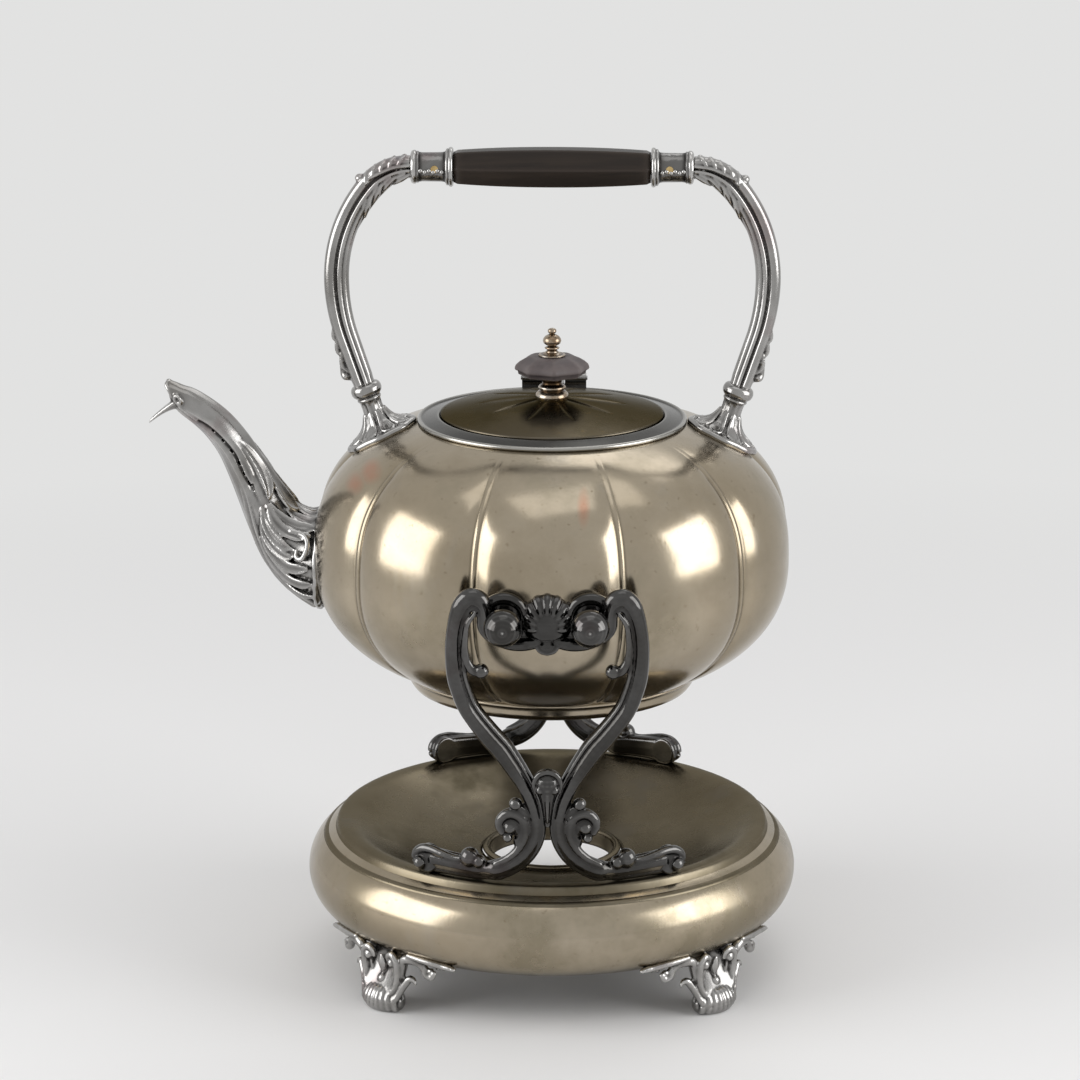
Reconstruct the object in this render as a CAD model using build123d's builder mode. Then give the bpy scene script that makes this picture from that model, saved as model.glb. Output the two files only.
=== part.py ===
from build123d import *
import os
from math import asin, atan2, cos, degrees, pi, radians, sin, tan

os.makedirs("parts", exist_ok=True)

# Spirit kettle on stand. Millimetres, +Z up, table at Z = 0.
# The spout points to -X, the lid hinge is at +Y, and the stand is the same front and back.

# ---------------------------------------------------------------- driving dimensions
sheet = 1.4                 # wall of every spun or raised sheet
joint_gap = 0.3             # gap kept between pieces that move past each other
running_gap = 0.05          # radial clearance of a pin or stud in its bore

# base
base_radius = 103.7         # outermost reach of the base roll
roll_round = 18.7           # radius of the roll's own round section
foot_height = 21.8          # table to the underside of the roll
rim_inset = 12.7            # outer edge of the dish rim inside the base's outermost reach
rim_width = 6.5             # the rim is a flat land that carries the arms
rim_rise = 2.0              # rim land above the crown of the roll
rim_edge = 3.0              # thickness of the rim
rim_bevel = 0.6
dish_depth = 15.6           # rim land down to the burner hole
dish_sag = 1.6              # bow of the dish between the rim and the hole
burner_radius = 26.3        # bore of the burner opening
burner_depth = 7.0          # length of the burner bore
burner_lip = 3.2            # flange of the burner collar over the dish
burner_lip_rise = 0.9

# feet
foot_azimuths = {"front_left": 225, "front_right": 315, "rear_right": 45, "rear_left": 135}
toe_inset = 6.2             # middle of the toe inside the base's outermost reach
toe_round = 5.2             # scroll of the toe
toe_land = 4.6              # half width of the flat that meets the table
foot_front = 13.0           # front of the foot's root, outwards from the roll's centre
foot_back = 3.0             # back of the foot's root, outwards from the roll's centre
foot_tuck = 6.0             # how far the foot's root reaches up round the roll
foot_sag = 1.4              # bow of the foot's front and back
foot_top_width = 22.0
foot_toe_width = 14.0
wing_angle = 20.0           # each wing's end, in degrees round the base from the foot
wing_thickness = 2.0
wing_top = 13.1             # top of the wings below the roll's centre

# stand arms
stud_rise = 116.8           # stud axis above the rim land
stud_spacing = 17.15        # pivot studs, each side of the centre line
stud_radius = 3.5
ball_radius = 7.6
ball_stand = 18.3           # ball centre in front of the body's mean radius
stud_tail = 2.5             # radius of the stud's tail in its bracket
tail_length = 2.3
arm_depth = 6.0             # thickness of a cast arm, front to back
arm_set_back = 1.25         # middle of the arm behind the middle of the rim land
hook_stand = 7.4            # middle of the hooks in front of the body's mean radius
hook_width = 7.4            # strand of the hook, loop and waist
strand_width = 8.8          # strand of the outer sweep
hook_tip = 205.0            # where the open hook ends, in degrees round the stud
loop_radius = 5.45          # centreline of the loop over the hook
loop_height = 4.0           # loop centre above the stud axis
sweep_rise = 84.2           # corner where the outer strand leans in, above the rim land
sweep_radius = 24.0
waist_rise = 43.1           # corner where the strand turns upright, above the rim land
waist_radius = 44.5
waist_x = 4.15              # strand centre at the waist
heel_radius = 20.0
heel_run = 0.1              # straight end of the strand beyond its heel
arm_foot_width = 6.4        # foot of the arm, along the rim
arm_foot_tall = 9.4
arm_foot_start = 9.0        # azimuths of the arm foot's ends, from the front
arm_foot_end = 36.5
toe_scroll = 6.6            # scroll at the end of the arm's foot
knuckle_bead = 3.0          # bead on top of the arm's foot
curl_radius = 5.4           # scroll on the outer side of the waist
curl_x = 14.6
curl_rise = 24.8            # scroll above the rim land
curl_bead = 2.6
hook_bead = 2.7             # bead inside the outer sweep
hook_bead_rise = 92.3
clasp_rise = 47.8           # clasp above the rim land
clasp_radius = 6.2
clasp_drop = 16.0           # pointed drop under the clasp
clasp_cover = 1.4           # clasp in front of and behind the arms

# brackets that carry the studs
bracket_stand = 2.2         # front of a bracket in front of the body's mean radius
bracket_depth = 11.0
boss_radius = 10.0          # rounded ends about the studs
shell_width = 21.8
shell_rise = 7.5            # shell above the stud axis
shell_drop = 16.3           # shell below the stud axis
shell_bulge = 2.7           # middle of the shell in front of the bracket's face
bulge_radius = 5.0

# kettle body: two superellipse halves that meet on the stud axis
lobes = 10
body_radius = 99.1
mouth_rise = 56.0           # stud axis up to the top of the body
top_ledge = 0.3             # top of the body outside the collar's edge
floor_drop = 49.0           # stud axis down to the floor
floor_radius = 63.5
shoulder_power = 2.7
belly_power = 2.2
crest_share = 0.015         # crest of a lobe over the mean radius
crease_share = 0.040        # crease under the mean radius
lobe_fade = 16.0            # the lobes fade out over this height under the mouth
foot_ring_height = 7.5
foot_ring_top = 61.6
foot_ring_bottom = 58.0
strainer_hole = 2.3         # radius of each hole in the body wall behind the spout
strainer_pitch = 7.0
strainer_rise = 3.0         # middle of the strainer above the stud axis

# lid collar and lid
collar_width = 8.5          # collar's edge outside the lid's edge
collar_lip = 1.3            # radius of the bead round the collar's edge
collar_rest = 2.6           # collar's bore inside the lid's edge
neck_depth = 6.0            # neck of the collar, down through the mouth
collar_slope = 12.7         # degrees, falling outwards
collar_step = 0.3           # step round the lid's seat
seat_rise = 2.3             # lid's seat above the top of the body
lid_inset = 52.7            # lid's edge inside the body's mean radius
lid_gap = 0.4               # lid edge to the collar's step
lid_crown = 7.5             # crown of the lid over its edge
lid_bow = 1.8
lid_edge = 1.2
lid_margin = 5.4            # hollow under the lid, inside its edge
bezel_inset = 3.2           # outside of the bezel, inside the lid's edge
bezel_sheet = 1.2
bezel_depth = 4.0
crown_flat = 6.5            # flat middle of the lid, under the knob's collar
knob_collar_height = 7.0
knob_collar_radius = 6.3
knob_radius = 15.6
knob_height = 9.5
knob_facets = 8
knob_turn = 4.5             # degrees
washer_radius = 5.4
washer_height = 1.5
finial_rise = 4.9           # middle of the finial's ball above the washer
finial_neck = 2.3
finial_flange = 3.6
finial_ball = 3.85
finial_tip = 1.6
bolt_radius = 1.6
nut_radius = 4.0
nut_height = 3.0

# lid hinge
hinge_stand = 5.1           # pin behind the lid's edge
hinge_rise = 4.3            # pin above the lid's seat
hinge_width = 27.5
barrel_radius = 2.2
hinge_pin_radius = 0.9
pin_end = 0.5               # pin standing out of each end knuckle
knuckle_width = 9.2         # middle knuckle, with the gaps beside it
leaf_sheet = 1.6
leaf_top_rise = 0.8         # top of the lid's leaf above the pin
fixed_leaf_sheet = 2.0
leaf_reach = 13.5           # lid leaf, from the pin towards the knob

# handle
grip_rise = 106.4           # middle of the grip above the top of the body
grip_length = 81.0
grip_sides = 6
grip_radius = 8.85          # corner of the six-sided grip at its middle
grip_end_radius = 7.3       # corner of the grip at its ends
grip_rod_radius = 2.8
ferrule_length = 17.5
ferrule_radius = 6.2
grip_ring = 8.2             # bead of the ferrule beside the grip
arm_ring = 6.8              # bead of the ferrule beside the handle arm
ferrule_bead = 1.6          # half width of a ferrule's beads
rivet_radius = 1.5
rivet_head = 0.4            # rivet standing out of the ferrule
rivet_place = 7.5           # rivet from the grip's end of the ferrule
bail_width = 10.4           # handle arm, across the bail
bail_depth = 8.0            # handle arm, front to back
bail_round = 2.2            # rounding of the handle arm's edges
crown_angle = 50.0
crown_radius = 22.2
side_radius = 77.0
socket_lean = 18.9          # degrees from the vertical
socket_inset = 28.2         # where the socket's line meets the shoulder, inside the body's radius
socket_length = 19.1        # shoulder to the middle of the knop
knop_radius = 6.5
knop_half = 3.2             # half length of the knop
neck_radius = 4.9
neck_step = 0.4             # top of the knop over the neck
socket_radius = 12.5
socket_sag = 1.8            # hollow of the socket's flare

# spout
spout_throw = 70.6          # middle of the spout's root out to the middle of its mouth
root_depth = 11.1           # how far the spout's first station is inside the body
mouth_lift = 68.5           # middle of the spout's mouth above the stud axis
root_width = 25.5           # half width of the root
spout_flatten = 0.86        # breadth of the spout against its depth
spout_wall = 1.5
lip_width = 6.0             # drooping lip under the spout's mouth
lip_sheet = 1.8
lip_reach = 9.6             # tip of the lip outside the middle of the mouth
lip_drop = 13.2             # tip of the lip below the middle of the mouth
lip_root = 6.0              # lip lying under the spout
# Stations of the spout's centreline: share of the reach from the root to the mouth, share of the
# mouth's lift, direction in degrees, share of the root's half width.
spout_stations = (
    (0.000, -0.058, 180, 1.000),
    (0.142, -0.036, 170, 0.902),
    (0.290, 0.044, 150, 0.686),
    (0.404, 0.190, 132, 0.518),
    (0.490, 0.368, 118, 0.416),
    (0.561, 0.520, 117, 0.361),
    (0.637, 0.666, 122, 0.322),
    (0.737, 0.797, 134, 0.298),
    (0.858, 0.899, 148, 0.271),
    (0.935, 0.953, 160, 0.243),
    (1.000, 1.000, 186, 0.188),
)

# ---------------------------------------------------------------- derived places
root_reach = body_radius - root_depth
mouth_reach = root_reach + spout_throw
spout_reach = mouth_reach + lip_reach
axis_x = (spout_reach - base_radius) / 2
level = Plane((axis_x, 0, 0))
upright = Plane((axis_x, 0, 0), x_dir=(1, 0, 0), z_dir=(0, -1, 0))
side_view = Plane((axis_x, 0, 0), x_dir=(0, 1, 0), z_dir=(1, 0, 0))
front_rear = Plane.XZ
kettle_axis = Axis((axis_x, 0, 0), (0, 0, 1))

front = degrees(atan2(-1, 0))

roll_centre_r = base_radius - roll_round
roll_centre_z = foot_height + roll_round
rim_height = foot_height + 2 * roll_round + rim_rise
rim_outer = base_radius - rim_inset
rim_inner = rim_outer - rim_width
rim_middle = rim_outer - rim_width / 2
toe_reach = base_radius - toe_inset
arm_foot_y = rim_middle - arm_set_back
arm_hook_y = body_radius + hook_stand
bracket_face = body_radius + bracket_stand
ball_reach = body_radius + ball_stand
socket_reach = body_radius - socket_inset
burner_top = rim_height - dish_depth
stud_height = rim_height + stud_rise
mouth_plane = stud_height + mouth_rise
floor_height = stud_height - floor_drop
lid_radius = body_radius - lid_inset
lid_hollow = lid_radius - lid_margin
bezel_radius = lid_radius - bezel_inset
collar_radius = lid_radius + collar_width
collar_bore = lid_radius - collar_rest
mouth_radius = collar_bore + sheet
top_radius = collar_radius + top_ledge
hinge_y = lid_radius + hinge_stand
lid_seat = mouth_plane + seat_rise
hinge_height = lid_seat + hinge_rise
grip_height = mouth_plane + grip_rise


def ring(*points):
    """A closed straight-sided profile in the upright plane, turned about the kettle's axis."""
    with BuildPart() as turned:
        with BuildSketch(upright):
            with BuildLine():
                Polyline(*points, close=True)
            make_face()
        revolve(axis=kettle_axis)
    return turned


def save(piece, name):
    piece.part.label = name
    export_step(piece.part, f"parts/{name}.step")


def mirrored(piece, plane):
    with BuildPart() as other:
        mirror(objects=piece.part, about=plane)
    return other


# ---------------------------------------------------------------- base
with BuildPart() as base_roll:
    with BuildSketch(upright):
        with Locations((roll_centre_r, roll_centre_z)):
            Circle(roll_round)
            Circle(roll_round - sheet, mode=Mode.SUBTRACT)
        with Locations((roll_centre_r - roll_round, roll_centre_z)):
            Rectangle(2 * roll_round, 2.2 * roll_round, mode=Mode.SUBTRACT)
    revolve(axis=kettle_axis)
save(base_roll, "base_roll")

with BuildPart() as roll_form:
    with BuildSketch(upright):
        with Locations((roll_centre_r, roll_centre_z)):
            Circle(roll_round)
    revolve(axis=kettle_axis)

with BuildPart() as base_dish:
    with BuildSketch(upright):
        with BuildLine():
            Line((rim_outer, rim_height - rim_edge), (rim_outer, rim_height - rim_bevel))
            Line((rim_outer, rim_height - rim_bevel), (rim_outer - rim_bevel, rim_height))
            Line((rim_outer - rim_bevel, rim_height), (rim_inner, rim_height))
            SagittaArc((rim_inner, rim_height), (burner_radius + sheet, burner_top), -dish_sag)
            Line((burner_radius + sheet, burner_top), (burner_radius + sheet, burner_top - sheet))
            SagittaArc(
                (burner_radius + sheet, burner_top - sheet), (rim_inner, rim_height - rim_edge), dish_sag
            )
            Line((rim_inner, rim_height - rim_edge), (rim_outer, rim_height - rim_edge))
        make_face()
    revolve(axis=kettle_axis)
    add(roll_form.part, mode=Mode.SUBTRACT)
save(base_dish, "base_dish")

burner_collar = ring(
    (burner_radius, burner_top + sheet),
    (burner_radius + burner_lip, burner_top + sheet + burner_lip_rise),
    (burner_radius + burner_lip, burner_top + burner_lip_rise),
    (burner_radius + sheet, burner_top),
    (burner_radius + sheet, burner_top + sheet - burner_depth),
    (burner_radius, burner_top + sheet - burner_depth),
)
save(burner_collar, "burner_collar")

# ---------------------------------------------------------------- feet
def radial_plane(azimuth):
    """Upright plane through the kettle's axis: local x runs outwards, local y is up."""
    turn = radians(azimuth)
    return Plane((axis_x, 0, 0), x_dir=(cos(turn), sin(turn), 0), z_dir=(sin(turn), -cos(turn), 0))


def facing_plane(azimuth, distance):
    """Upright plane square to the radius at a distance from the axis: local y is up."""
    turn = radians(azimuth)
    outward = Vector(cos(turn), sin(turn), 0)
    origin = Vector(axis_x, 0, 0) + outward * distance
    return Plane(origin, x_dir=(-sin(turn), cos(turn), 0), z_dir=outward)


root_front = roll_centre_r + foot_front
root_back = roll_centre_r + foot_back
root_top = foot_height + foot_tuck

for foot_name, azimuth in foot_azimuths.items():
    with BuildPart() as foot:
        with BuildSketch(radial_plane(azimuth)):
            with BuildLine():
                Line((toe_reach - toe_land, 0), (toe_reach + toe_land, 0))
                SagittaArc(
                    (toe_reach + toe_land, 0), (toe_reach + toe_land, 2 * toe_round), -0.9 * toe_round
                )
                SagittaArc((toe_reach + toe_land, 2 * toe_round), (root_front, root_top), foot_sag)
                Line((root_front, root_top), (root_back, root_top))
                SagittaArc((root_back, root_top), (toe_reach - toe_land, 0), -foot_sag)
            make_face()
        extrude(amount=foot_top_width / 2, both=True)
        with BuildSketch(facing_plane(azimuth, 0)):
            with BuildLine():
                Polyline(
                    (-foot_toe_width / 2, 0),
                    (foot_toe_width / 2, 0),
                    (foot_top_width / 2, 2 * toe_round),
                    (foot_top_width / 2, 2 * foot_height),
                    (-foot_top_width / 2, 2 * foot_height),
                    (-foot_top_width / 2, 2 * toe_round),
                    close=True,
                )
            make_face()
        extrude(amount=base_radius + roll_round, mode=Mode.INTERSECT)
        for turn in (wing_angle, -wing_angle):
            with BuildSketch(radial_plane(azimuth)):
                with Locations((roll_centre_r, roll_centre_z)):
                    Circle(roll_round + wing_thickness)
                with Locations((roll_centre_r, roll_centre_z + 2 * roll_round - wing_top)):
                    Rectangle(4 * roll_round, 4 * roll_round, mode=Mode.SUBTRACT)
                with Locations((roll_centre_r - roll_round, roll_centre_z)):
                    Rectangle(2 * roll_round, 4 * roll_round, mode=Mode.SUBTRACT)
            revolve(axis=kettle_axis, revolution_arc=turn)
        add(roll_form.part, mode=Mode.SUBTRACT)
    save(foot, f"foot_{foot_name}")

# ---------------------------------------------------------------- stand arms
arm_lean = degrees(atan2(arm_hook_y - arm_foot_y, stud_rise))
arm_plane = Plane(
    (axis_x, -arm_foot_y, rim_height),
    x_dir=(1, 0, 0),
    z_dir=(0, -cos(radians(arm_lean)), -sin(radians(arm_lean))),
)


def up_arm(rise):
    """Distance up the leaning arm plane of a rise above the rim land."""
    return rise / cos(radians(arm_lean))


hook_round = stud_radius + joint_gap + hook_width / 2
hook_x = stud_spacing + hook_round
strand_x = hook_x + 2 * loop_radius
hook_v = up_arm(stud_rise)
loop_v = up_arm(stud_rise + loop_height)
sweep_v = up_arm(sweep_rise)
waist_v = up_arm(waist_rise)
heel_v = hook_width / 2
curl_v = up_arm(curl_rise)
clasp_v = up_arm(clasp_rise)
# The sweeping strand is drawn in two widths that overlap a little at its middle.
sweep_middle = ((strand_x + waist_x) / 2, (sweep_v + waist_v) / 2)
overlap_share = 0.55
sweep_overlap = (
    waist_x + overlap_share * (strand_x - waist_x),
    waist_v + overlap_share * (sweep_v - waist_v),
)

with BuildPart() as arm_front_right:
    with BuildSketch(arm_plane):
        with BuildLine():
            CenterArc((stud_spacing, hook_v), hook_round, hook_tip, 360 - hook_tip)
            Line((hook_x, hook_v), (hook_x, loop_v))
            CenterArc((hook_x + loop_radius, loop_v), loop_radius, 180, -180)
        trace(line_width=hook_width)
        with BuildLine():
            FilletPolyline((strand_x, loop_v), (strand_x, sweep_v), sweep_middle, radius=sweep_radius)
        trace(line_width=strand_width)
        with BuildLine():
            FilletPolyline(
                sweep_overlap,
                (waist_x, waist_v),
                (waist_x, heel_v),
                (waist_x + heel_radius + heel_run, heel_v),
                radius=[waist_radius, heel_radius],
            )
        trace(line_width=hook_width)
        with Locations((curl_x, curl_v)):
            Circle(curl_radius)
        with Locations(((waist_x + curl_x) / 2, curl_v)):
            Rectangle(curl_x - waist_x, curl_radius)
        with Locations((curl_x, curl_v - curl_radius)):
            Circle(curl_bead)
        with Locations((strand_x - strand_width / 2 - hook_bead / 2, up_arm(hook_bead_rise))):
            Circle(hook_bead)
    extrude(amount=arm_depth / 2, both=True)
    with BuildSketch(radial_plane(front + arm_foot_start)):
        with Locations((rim_middle, rim_height + arm_foot_tall / 2)):
            Rectangle(arm_foot_width, arm_foot_tall)
    revolve(axis=kettle_axis, revolution_arc=arm_foot_end - arm_foot_start)
    with BuildSketch(facing_plane(front + arm_foot_end, rim_middle)):
        with Locations((0, rim_height + toe_scroll)):
            Circle(toe_scroll)
    extrude(amount=arm_foot_width / 2, both=True)
    bead_turn = radians(arm_foot_start + 0.45 * (arm_foot_end - arm_foot_start))
    with Locations(
        (axis_x + rim_middle * sin(bead_turn), -rim_middle * cos(bead_turn), rim_height + arm_foot_tall)
    ):
        Sphere(knuckle_bead)
    with BuildSketch(upright):
        with Locations((stud_spacing, stud_height)):
            Circle(stud_radius + joint_gap)
    extrude(amount=ball_reach, mode=Mode.SUBTRACT)
    split(bisect_by=Plane.XY.offset(rim_height), keep=Keep.TOP)

arm_front_left = mirrored(arm_front_right, side_view)
arm_rear_right = mirrored(arm_front_right, front_rear)
arm_rear_left = mirrored(arm_front_left, front_rear)
save(arm_front_right, "arm_front_right")
save(arm_front_left, "arm_front_left")
save(arm_rear_right, "arm_rear_right")
save(arm_rear_left, "arm_rear_left")

with BuildPart() as clasp_front:
    with BuildSketch(arm_plane):
        with Locations((0, clasp_v)):
            Circle(clasp_radius)
        with BuildLine():
            Polyline(
                (-clasp_radius / 2, clasp_v),
                (0, clasp_v - clasp_radius - clasp_drop),
                (clasp_radius / 2, clasp_v),
                close=True,
            )
        make_face()
    extrude(amount=arm_depth / 2 + clasp_cover, both=True)
    add(arm_front_right.part, mode=Mode.SUBTRACT)
    add(arm_front_left.part, mode=Mode.SUBTRACT)
clasp_rear = mirrored(clasp_front, front_rear)
save(clasp_front, "clasp_front")
save(clasp_rear, "clasp_rear")


# ---------------------------------------------------------------- kettle body
def full_height(part_height, part_radius, power):
    """Half height of a superellipse that has part_radius at part_height from its equator."""
    return part_height / (1 - (part_radius / body_radius) ** power) ** (1 / power)


shoulder_height = full_height(mouth_rise, top_radius, shoulder_power)
belly_height = full_height(floor_drop, floor_radius, belly_power)


def melon(low, high, inset):
    """Lobed solid between two heights from the equator, lofted through level sections."""
    tall = shoulder_height - inset
    deep = belly_height - inset
    low_turn = -asin((-low / deep) ** (belly_power / 2))
    high_turn = asin((high / tall) ** (shoulder_power / 2))
    steps = 11
    half = radians(180 / lobes)
    with BuildPart() as form:
        for step in range(steps):
            turn = low_turn + (high_turn - low_turn) * step / (steps - 1)
            power = belly_power if turn < 0 else shoulder_power
            span = -deep if turn < 0 else tall
            height = span * abs(sin(turn)) ** (2 / power)
            radius = (body_radius - inset) * cos(turn) ** (2 / power)
            depth = min(1, (high - height) / lobe_fade)
            crest = radius * (1 + crest_share * depth)
            crease = radius * (1 - crease_share * depth)
            with BuildSketch(level.offset(stud_height + height)):
                with BuildLine():
                    for lobe in range(lobes):
                        middle = -pi / 2 + 2 * half * lobe
                        ThreePointArc(
                            (crease * cos(middle - half), crease * sin(middle - half)),
                            (crest * cos(middle), crest * sin(middle)),
                            (crease * cos(middle + half), crease * sin(middle + half)),
                        )
                make_face()
        loft()
    return form


body_form = melon(-floor_drop, mouth_rise, 0)
body_hollow = melon(sheet - floor_drop, mouth_rise - sheet, sheet)

with BuildPart() as kettle_body:
    add(body_form.part)
    add(body_hollow.part, mode=Mode.SUBTRACT)
    with BuildSketch(level.offset(mouth_plane)):
        Circle(mouth_radius)
    extrude(amount=2 * sheet, both=True, mode=Mode.SUBTRACT)
    with BuildSketch(
        Plane((axis_x, 0, stud_height + strainer_rise), x_dir=(0, 1, 0), z_dir=(-1, 0, 0))
    ):
        Circle(strainer_hole)
        with PolarLocations(strainer_pitch, 6):
            Circle(strainer_hole)
    extrude(amount=body_radius, mode=Mode.SUBTRACT)
save(kettle_body, "kettle_body")

foot_ring = ring(
    (foot_ring_top, floor_height),
    (foot_ring_bottom, floor_height - foot_ring_height),
    (foot_ring_bottom - sheet, floor_height - foot_ring_height),
    (foot_ring_top - sheet, floor_height),
)
save(foot_ring, "foot_ring")

seat_outer = lid_radius + lid_gap
lip_centre = collar_radius - collar_lip
with BuildPart() as lid_collar:
    with BuildSketch(upright):
        with BuildLine():
            Polyline(
                (collar_bore, mouth_plane - neck_depth),
                (mouth_radius - running_gap, mouth_plane - neck_depth),
                (mouth_radius - running_gap, mouth_plane),
                (lip_centre, mouth_plane),
                (lip_centre, lid_seat + collar_step - (lip_centre - seat_outer) * tan(radians(collar_slope))),
                (seat_outer, lid_seat + collar_step),
                (seat_outer, lid_seat),
                (collar_bore, lid_seat),
                close=True,
            )
        make_face()
        with Locations((lip_centre, mouth_plane + collar_lip)):
            Circle(collar_lip)
    revolve(axis=kettle_axis)
save(lid_collar, "lid_collar")

# ---------------------------------------------------------------- spout
def swan_neck(inset):
    with BuildPart() as neck:
        for reach_share, lift_share, direction, width_share in spout_stations:
            reach = root_reach + (mouth_reach - root_reach) * reach_share
            turn = radians(direction)
            station = Plane(
                (axis_x - reach, 0, stud_height + mouth_lift * lift_share),
                x_dir=(0, 1, 0),
                z_dir=(cos(turn), 0, sin(turn)),
            )
            half_width = root_width * width_share - inset
            with BuildSketch(station):
                Ellipse(spout_flatten * half_width, half_width)
        loft()
    return neck


spout_outside = swan_neck(0)
spout_inside = swan_neck(spout_wall)
mouth_half = root_width * spout_stations[-1][3]
mouth_turn = radians(spout_stations[-1][2])
mouth_z = stud_height + mouth_lift
# Lower edge of the mouth, where the lip springs from.
lip_x = -mouth_reach - mouth_half * sin(mouth_turn)
lip_z = mouth_z - mouth_half * abs(cos(mouth_turn))

with BuildPart() as spout:
    with BuildSketch(upright):
        with BuildLine():
            ThreePointArc(
                (lip_x + lip_root, lip_z - 0.7 * lip_sheet),
                (lip_x - 0.43 * lip_root, lip_z - 1.33 * lip_sheet),
                (-spout_reach + 0.4 * lip_sheet, mouth_z - lip_drop),
            )
        trace(line_width=lip_sheet)
    extrude(amount=lip_width / 2, both=True)
    add(spout_outside.part)
    add(spout_inside.part, mode=Mode.SUBTRACT)
    add(body_form.part, mode=Mode.SUBTRACT)
save(spout, "spout")

# ---------------------------------------------------------------- brackets and studs
front_face = Plane((axis_x, -bracket_face, 0), x_dir=(1, 0, 0), z_dir=(0, -1, 0))
shell_middle = stud_height + (shell_rise - shell_drop) / 2

with BuildPart() as bracket_front:
    with BuildSketch(front_face):
        with Locations((stud_spacing, stud_height), (-stud_spacing, stud_height)):
            Circle(boss_radius)
        with Locations((0, stud_height)):
            Rectangle(2 * stud_spacing, boss_radius)
        with Locations((0, shell_middle)):
            Ellipse(shell_width / 2, (shell_rise + shell_drop) / 2)
    extrude(amount=-bracket_depth)
    with BuildSketch(front_face):
        with Locations((0, shell_middle)):
            Circle(bulge_radius)
    extrude(amount=shell_bulge, taper=30)
    with BuildSketch(front_face):
        with Locations((stud_spacing, stud_height), (-stud_spacing, stud_height)):
            Circle(stud_tail + running_gap)
    extrude(amount=-tail_length, mode=Mode.SUBTRACT)
    add(body_form.part, mode=Mode.SUBTRACT)
bracket_rear = mirrored(bracket_front, front_rear)
save(bracket_front, "bracket_front")
save(bracket_rear, "bracket_rear")

with BuildPart() as stud_front_handle_side:
    with BuildSketch(front_face):
        with Locations((stud_spacing, stud_height)):
            Circle(stud_tail)
    extrude(amount=-tail_length)
    with BuildSketch(front_face):
        with Locations((stud_spacing, stud_height)):
            Circle(stud_radius)
    extrude(amount=ball_reach - bracket_face)
    with Locations((axis_x + stud_spacing, -ball_reach, stud_height)):
        Sphere(ball_radius)
stud_rear_handle_side = mirrored(stud_front_handle_side, front_rear)
stud_front_spout_side = mirrored(stud_front_handle_side, side_view)
stud_rear_spout_side = mirrored(stud_rear_handle_side, side_view)
save(stud_front_handle_side, "stud_front_handle_side")
save(stud_rear_handle_side, "stud_rear_handle_side")
save(stud_front_spout_side, "stud_front_spout_side")
save(stud_rear_spout_side, "stud_rear_spout_side")

# ---------------------------------------------------------------- handle
grip_end = grip_length / 2
ferrule_end = grip_end + ferrule_length
lean = radians(socket_lean)
crown = radians(crown_angle)
shoulder_z = stud_height + shoulder_height * (1 - (socket_reach / body_radius) ** shoulder_power) ** (
    1 / shoulder_power
)
knop_x = socket_reach + socket_length * sin(lean)
knop_z = shoulder_z + socket_length * cos(lean)
crown_end_x = ferrule_end + crown_radius * sin(crown)
crown_end_z = grip_height - crown_radius * (1 - cos(crown))
# The flank between the crown and the upright side takes the radius that brings the side's lower
# end onto the socket's line.
flank_radius = (
    crown_end_z - knop_z - side_radius * sin(lean)
    - (crown_end_x - side_radius * (1 - cos(lean)) - knop_x) / tan(lean)
) / (cos(crown) + (1 - sin(crown)) / tan(lean))
bail_reach = crown_end_x + flank_radius * (1 - sin(crown))
flank_z = crown_end_z - flank_radius * cos(crown)
side_end = (bail_reach - side_radius * (1 - cos(lean)), flank_z - side_radius * sin(lean))
socket_line = Plane((axis_x + knop_x, 0, knop_z), x_dir=(cos(lean), 0, -sin(lean)), z_dir=(0, -1, 0))

with BuildPart() as handle_socket_right:
    with BuildSketch(socket_line):
        with BuildLine():
            Line((0, knop_half), (neck_radius + neck_step, knop_half))
            ThreePointArc((neck_radius + neck_step, knop_half), (knop_radius, 0), (neck_radius, -knop_half))
            Line((neck_radius, -knop_half), (neck_radius, -socket_length / 2))
            SagittaArc((neck_radius, -socket_length / 2), (socket_radius, -socket_length), -socket_sag)
            Line((socket_radius, -socket_length), (socket_radius, -2 * socket_length))
            Line((socket_radius, -2 * socket_length), (0, -2 * socket_length))
            Line((0, -2 * socket_length), (0, knop_half))
        make_face()
    revolve(axis=Axis(socket_line.origin, socket_line.y_dir))
    add(body_form.part, mode=Mode.SUBTRACT)
handle_socket_left = mirrored(handle_socket_right, side_view)
save(handle_socket_right, "handle_socket_right")
save(handle_socket_left, "handle_socket_left")

with BuildPart() as handle_arm_right:
    with BuildSketch(upright):
        with BuildLine():
            CenterArc((ferrule_end, grip_height - crown_radius), crown_radius, 90, -crown_angle)
            CenterArc((bail_reach - flank_radius, flank_z), flank_radius, 90 - crown_angle, crown_angle - 90)
            CenterArc((bail_reach - side_radius, flank_z), side_radius, 0, -socket_lean)
            Line(side_end, (knop_x + knop_half * sin(lean), knop_z + knop_half * cos(lean)))
        trace(line_width=bail_width)
    extrude(amount=bail_depth / 2, both=True)
    long_edges = handle_arm_right.faces().sort_by(Axis.Y)
    fillet(long_edges[0].edges() + long_edges[-1].edges(), radius=bail_round)
handle_arm_left = mirrored(handle_arm_right, side_view)
save(handle_arm_right, "handle_arm_right")
save(handle_arm_left, "handle_arm_left")

grip_line = Axis((axis_x, 0, grip_height), (1, 0, 0))
rivet_x = grip_end + rivet_place

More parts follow.
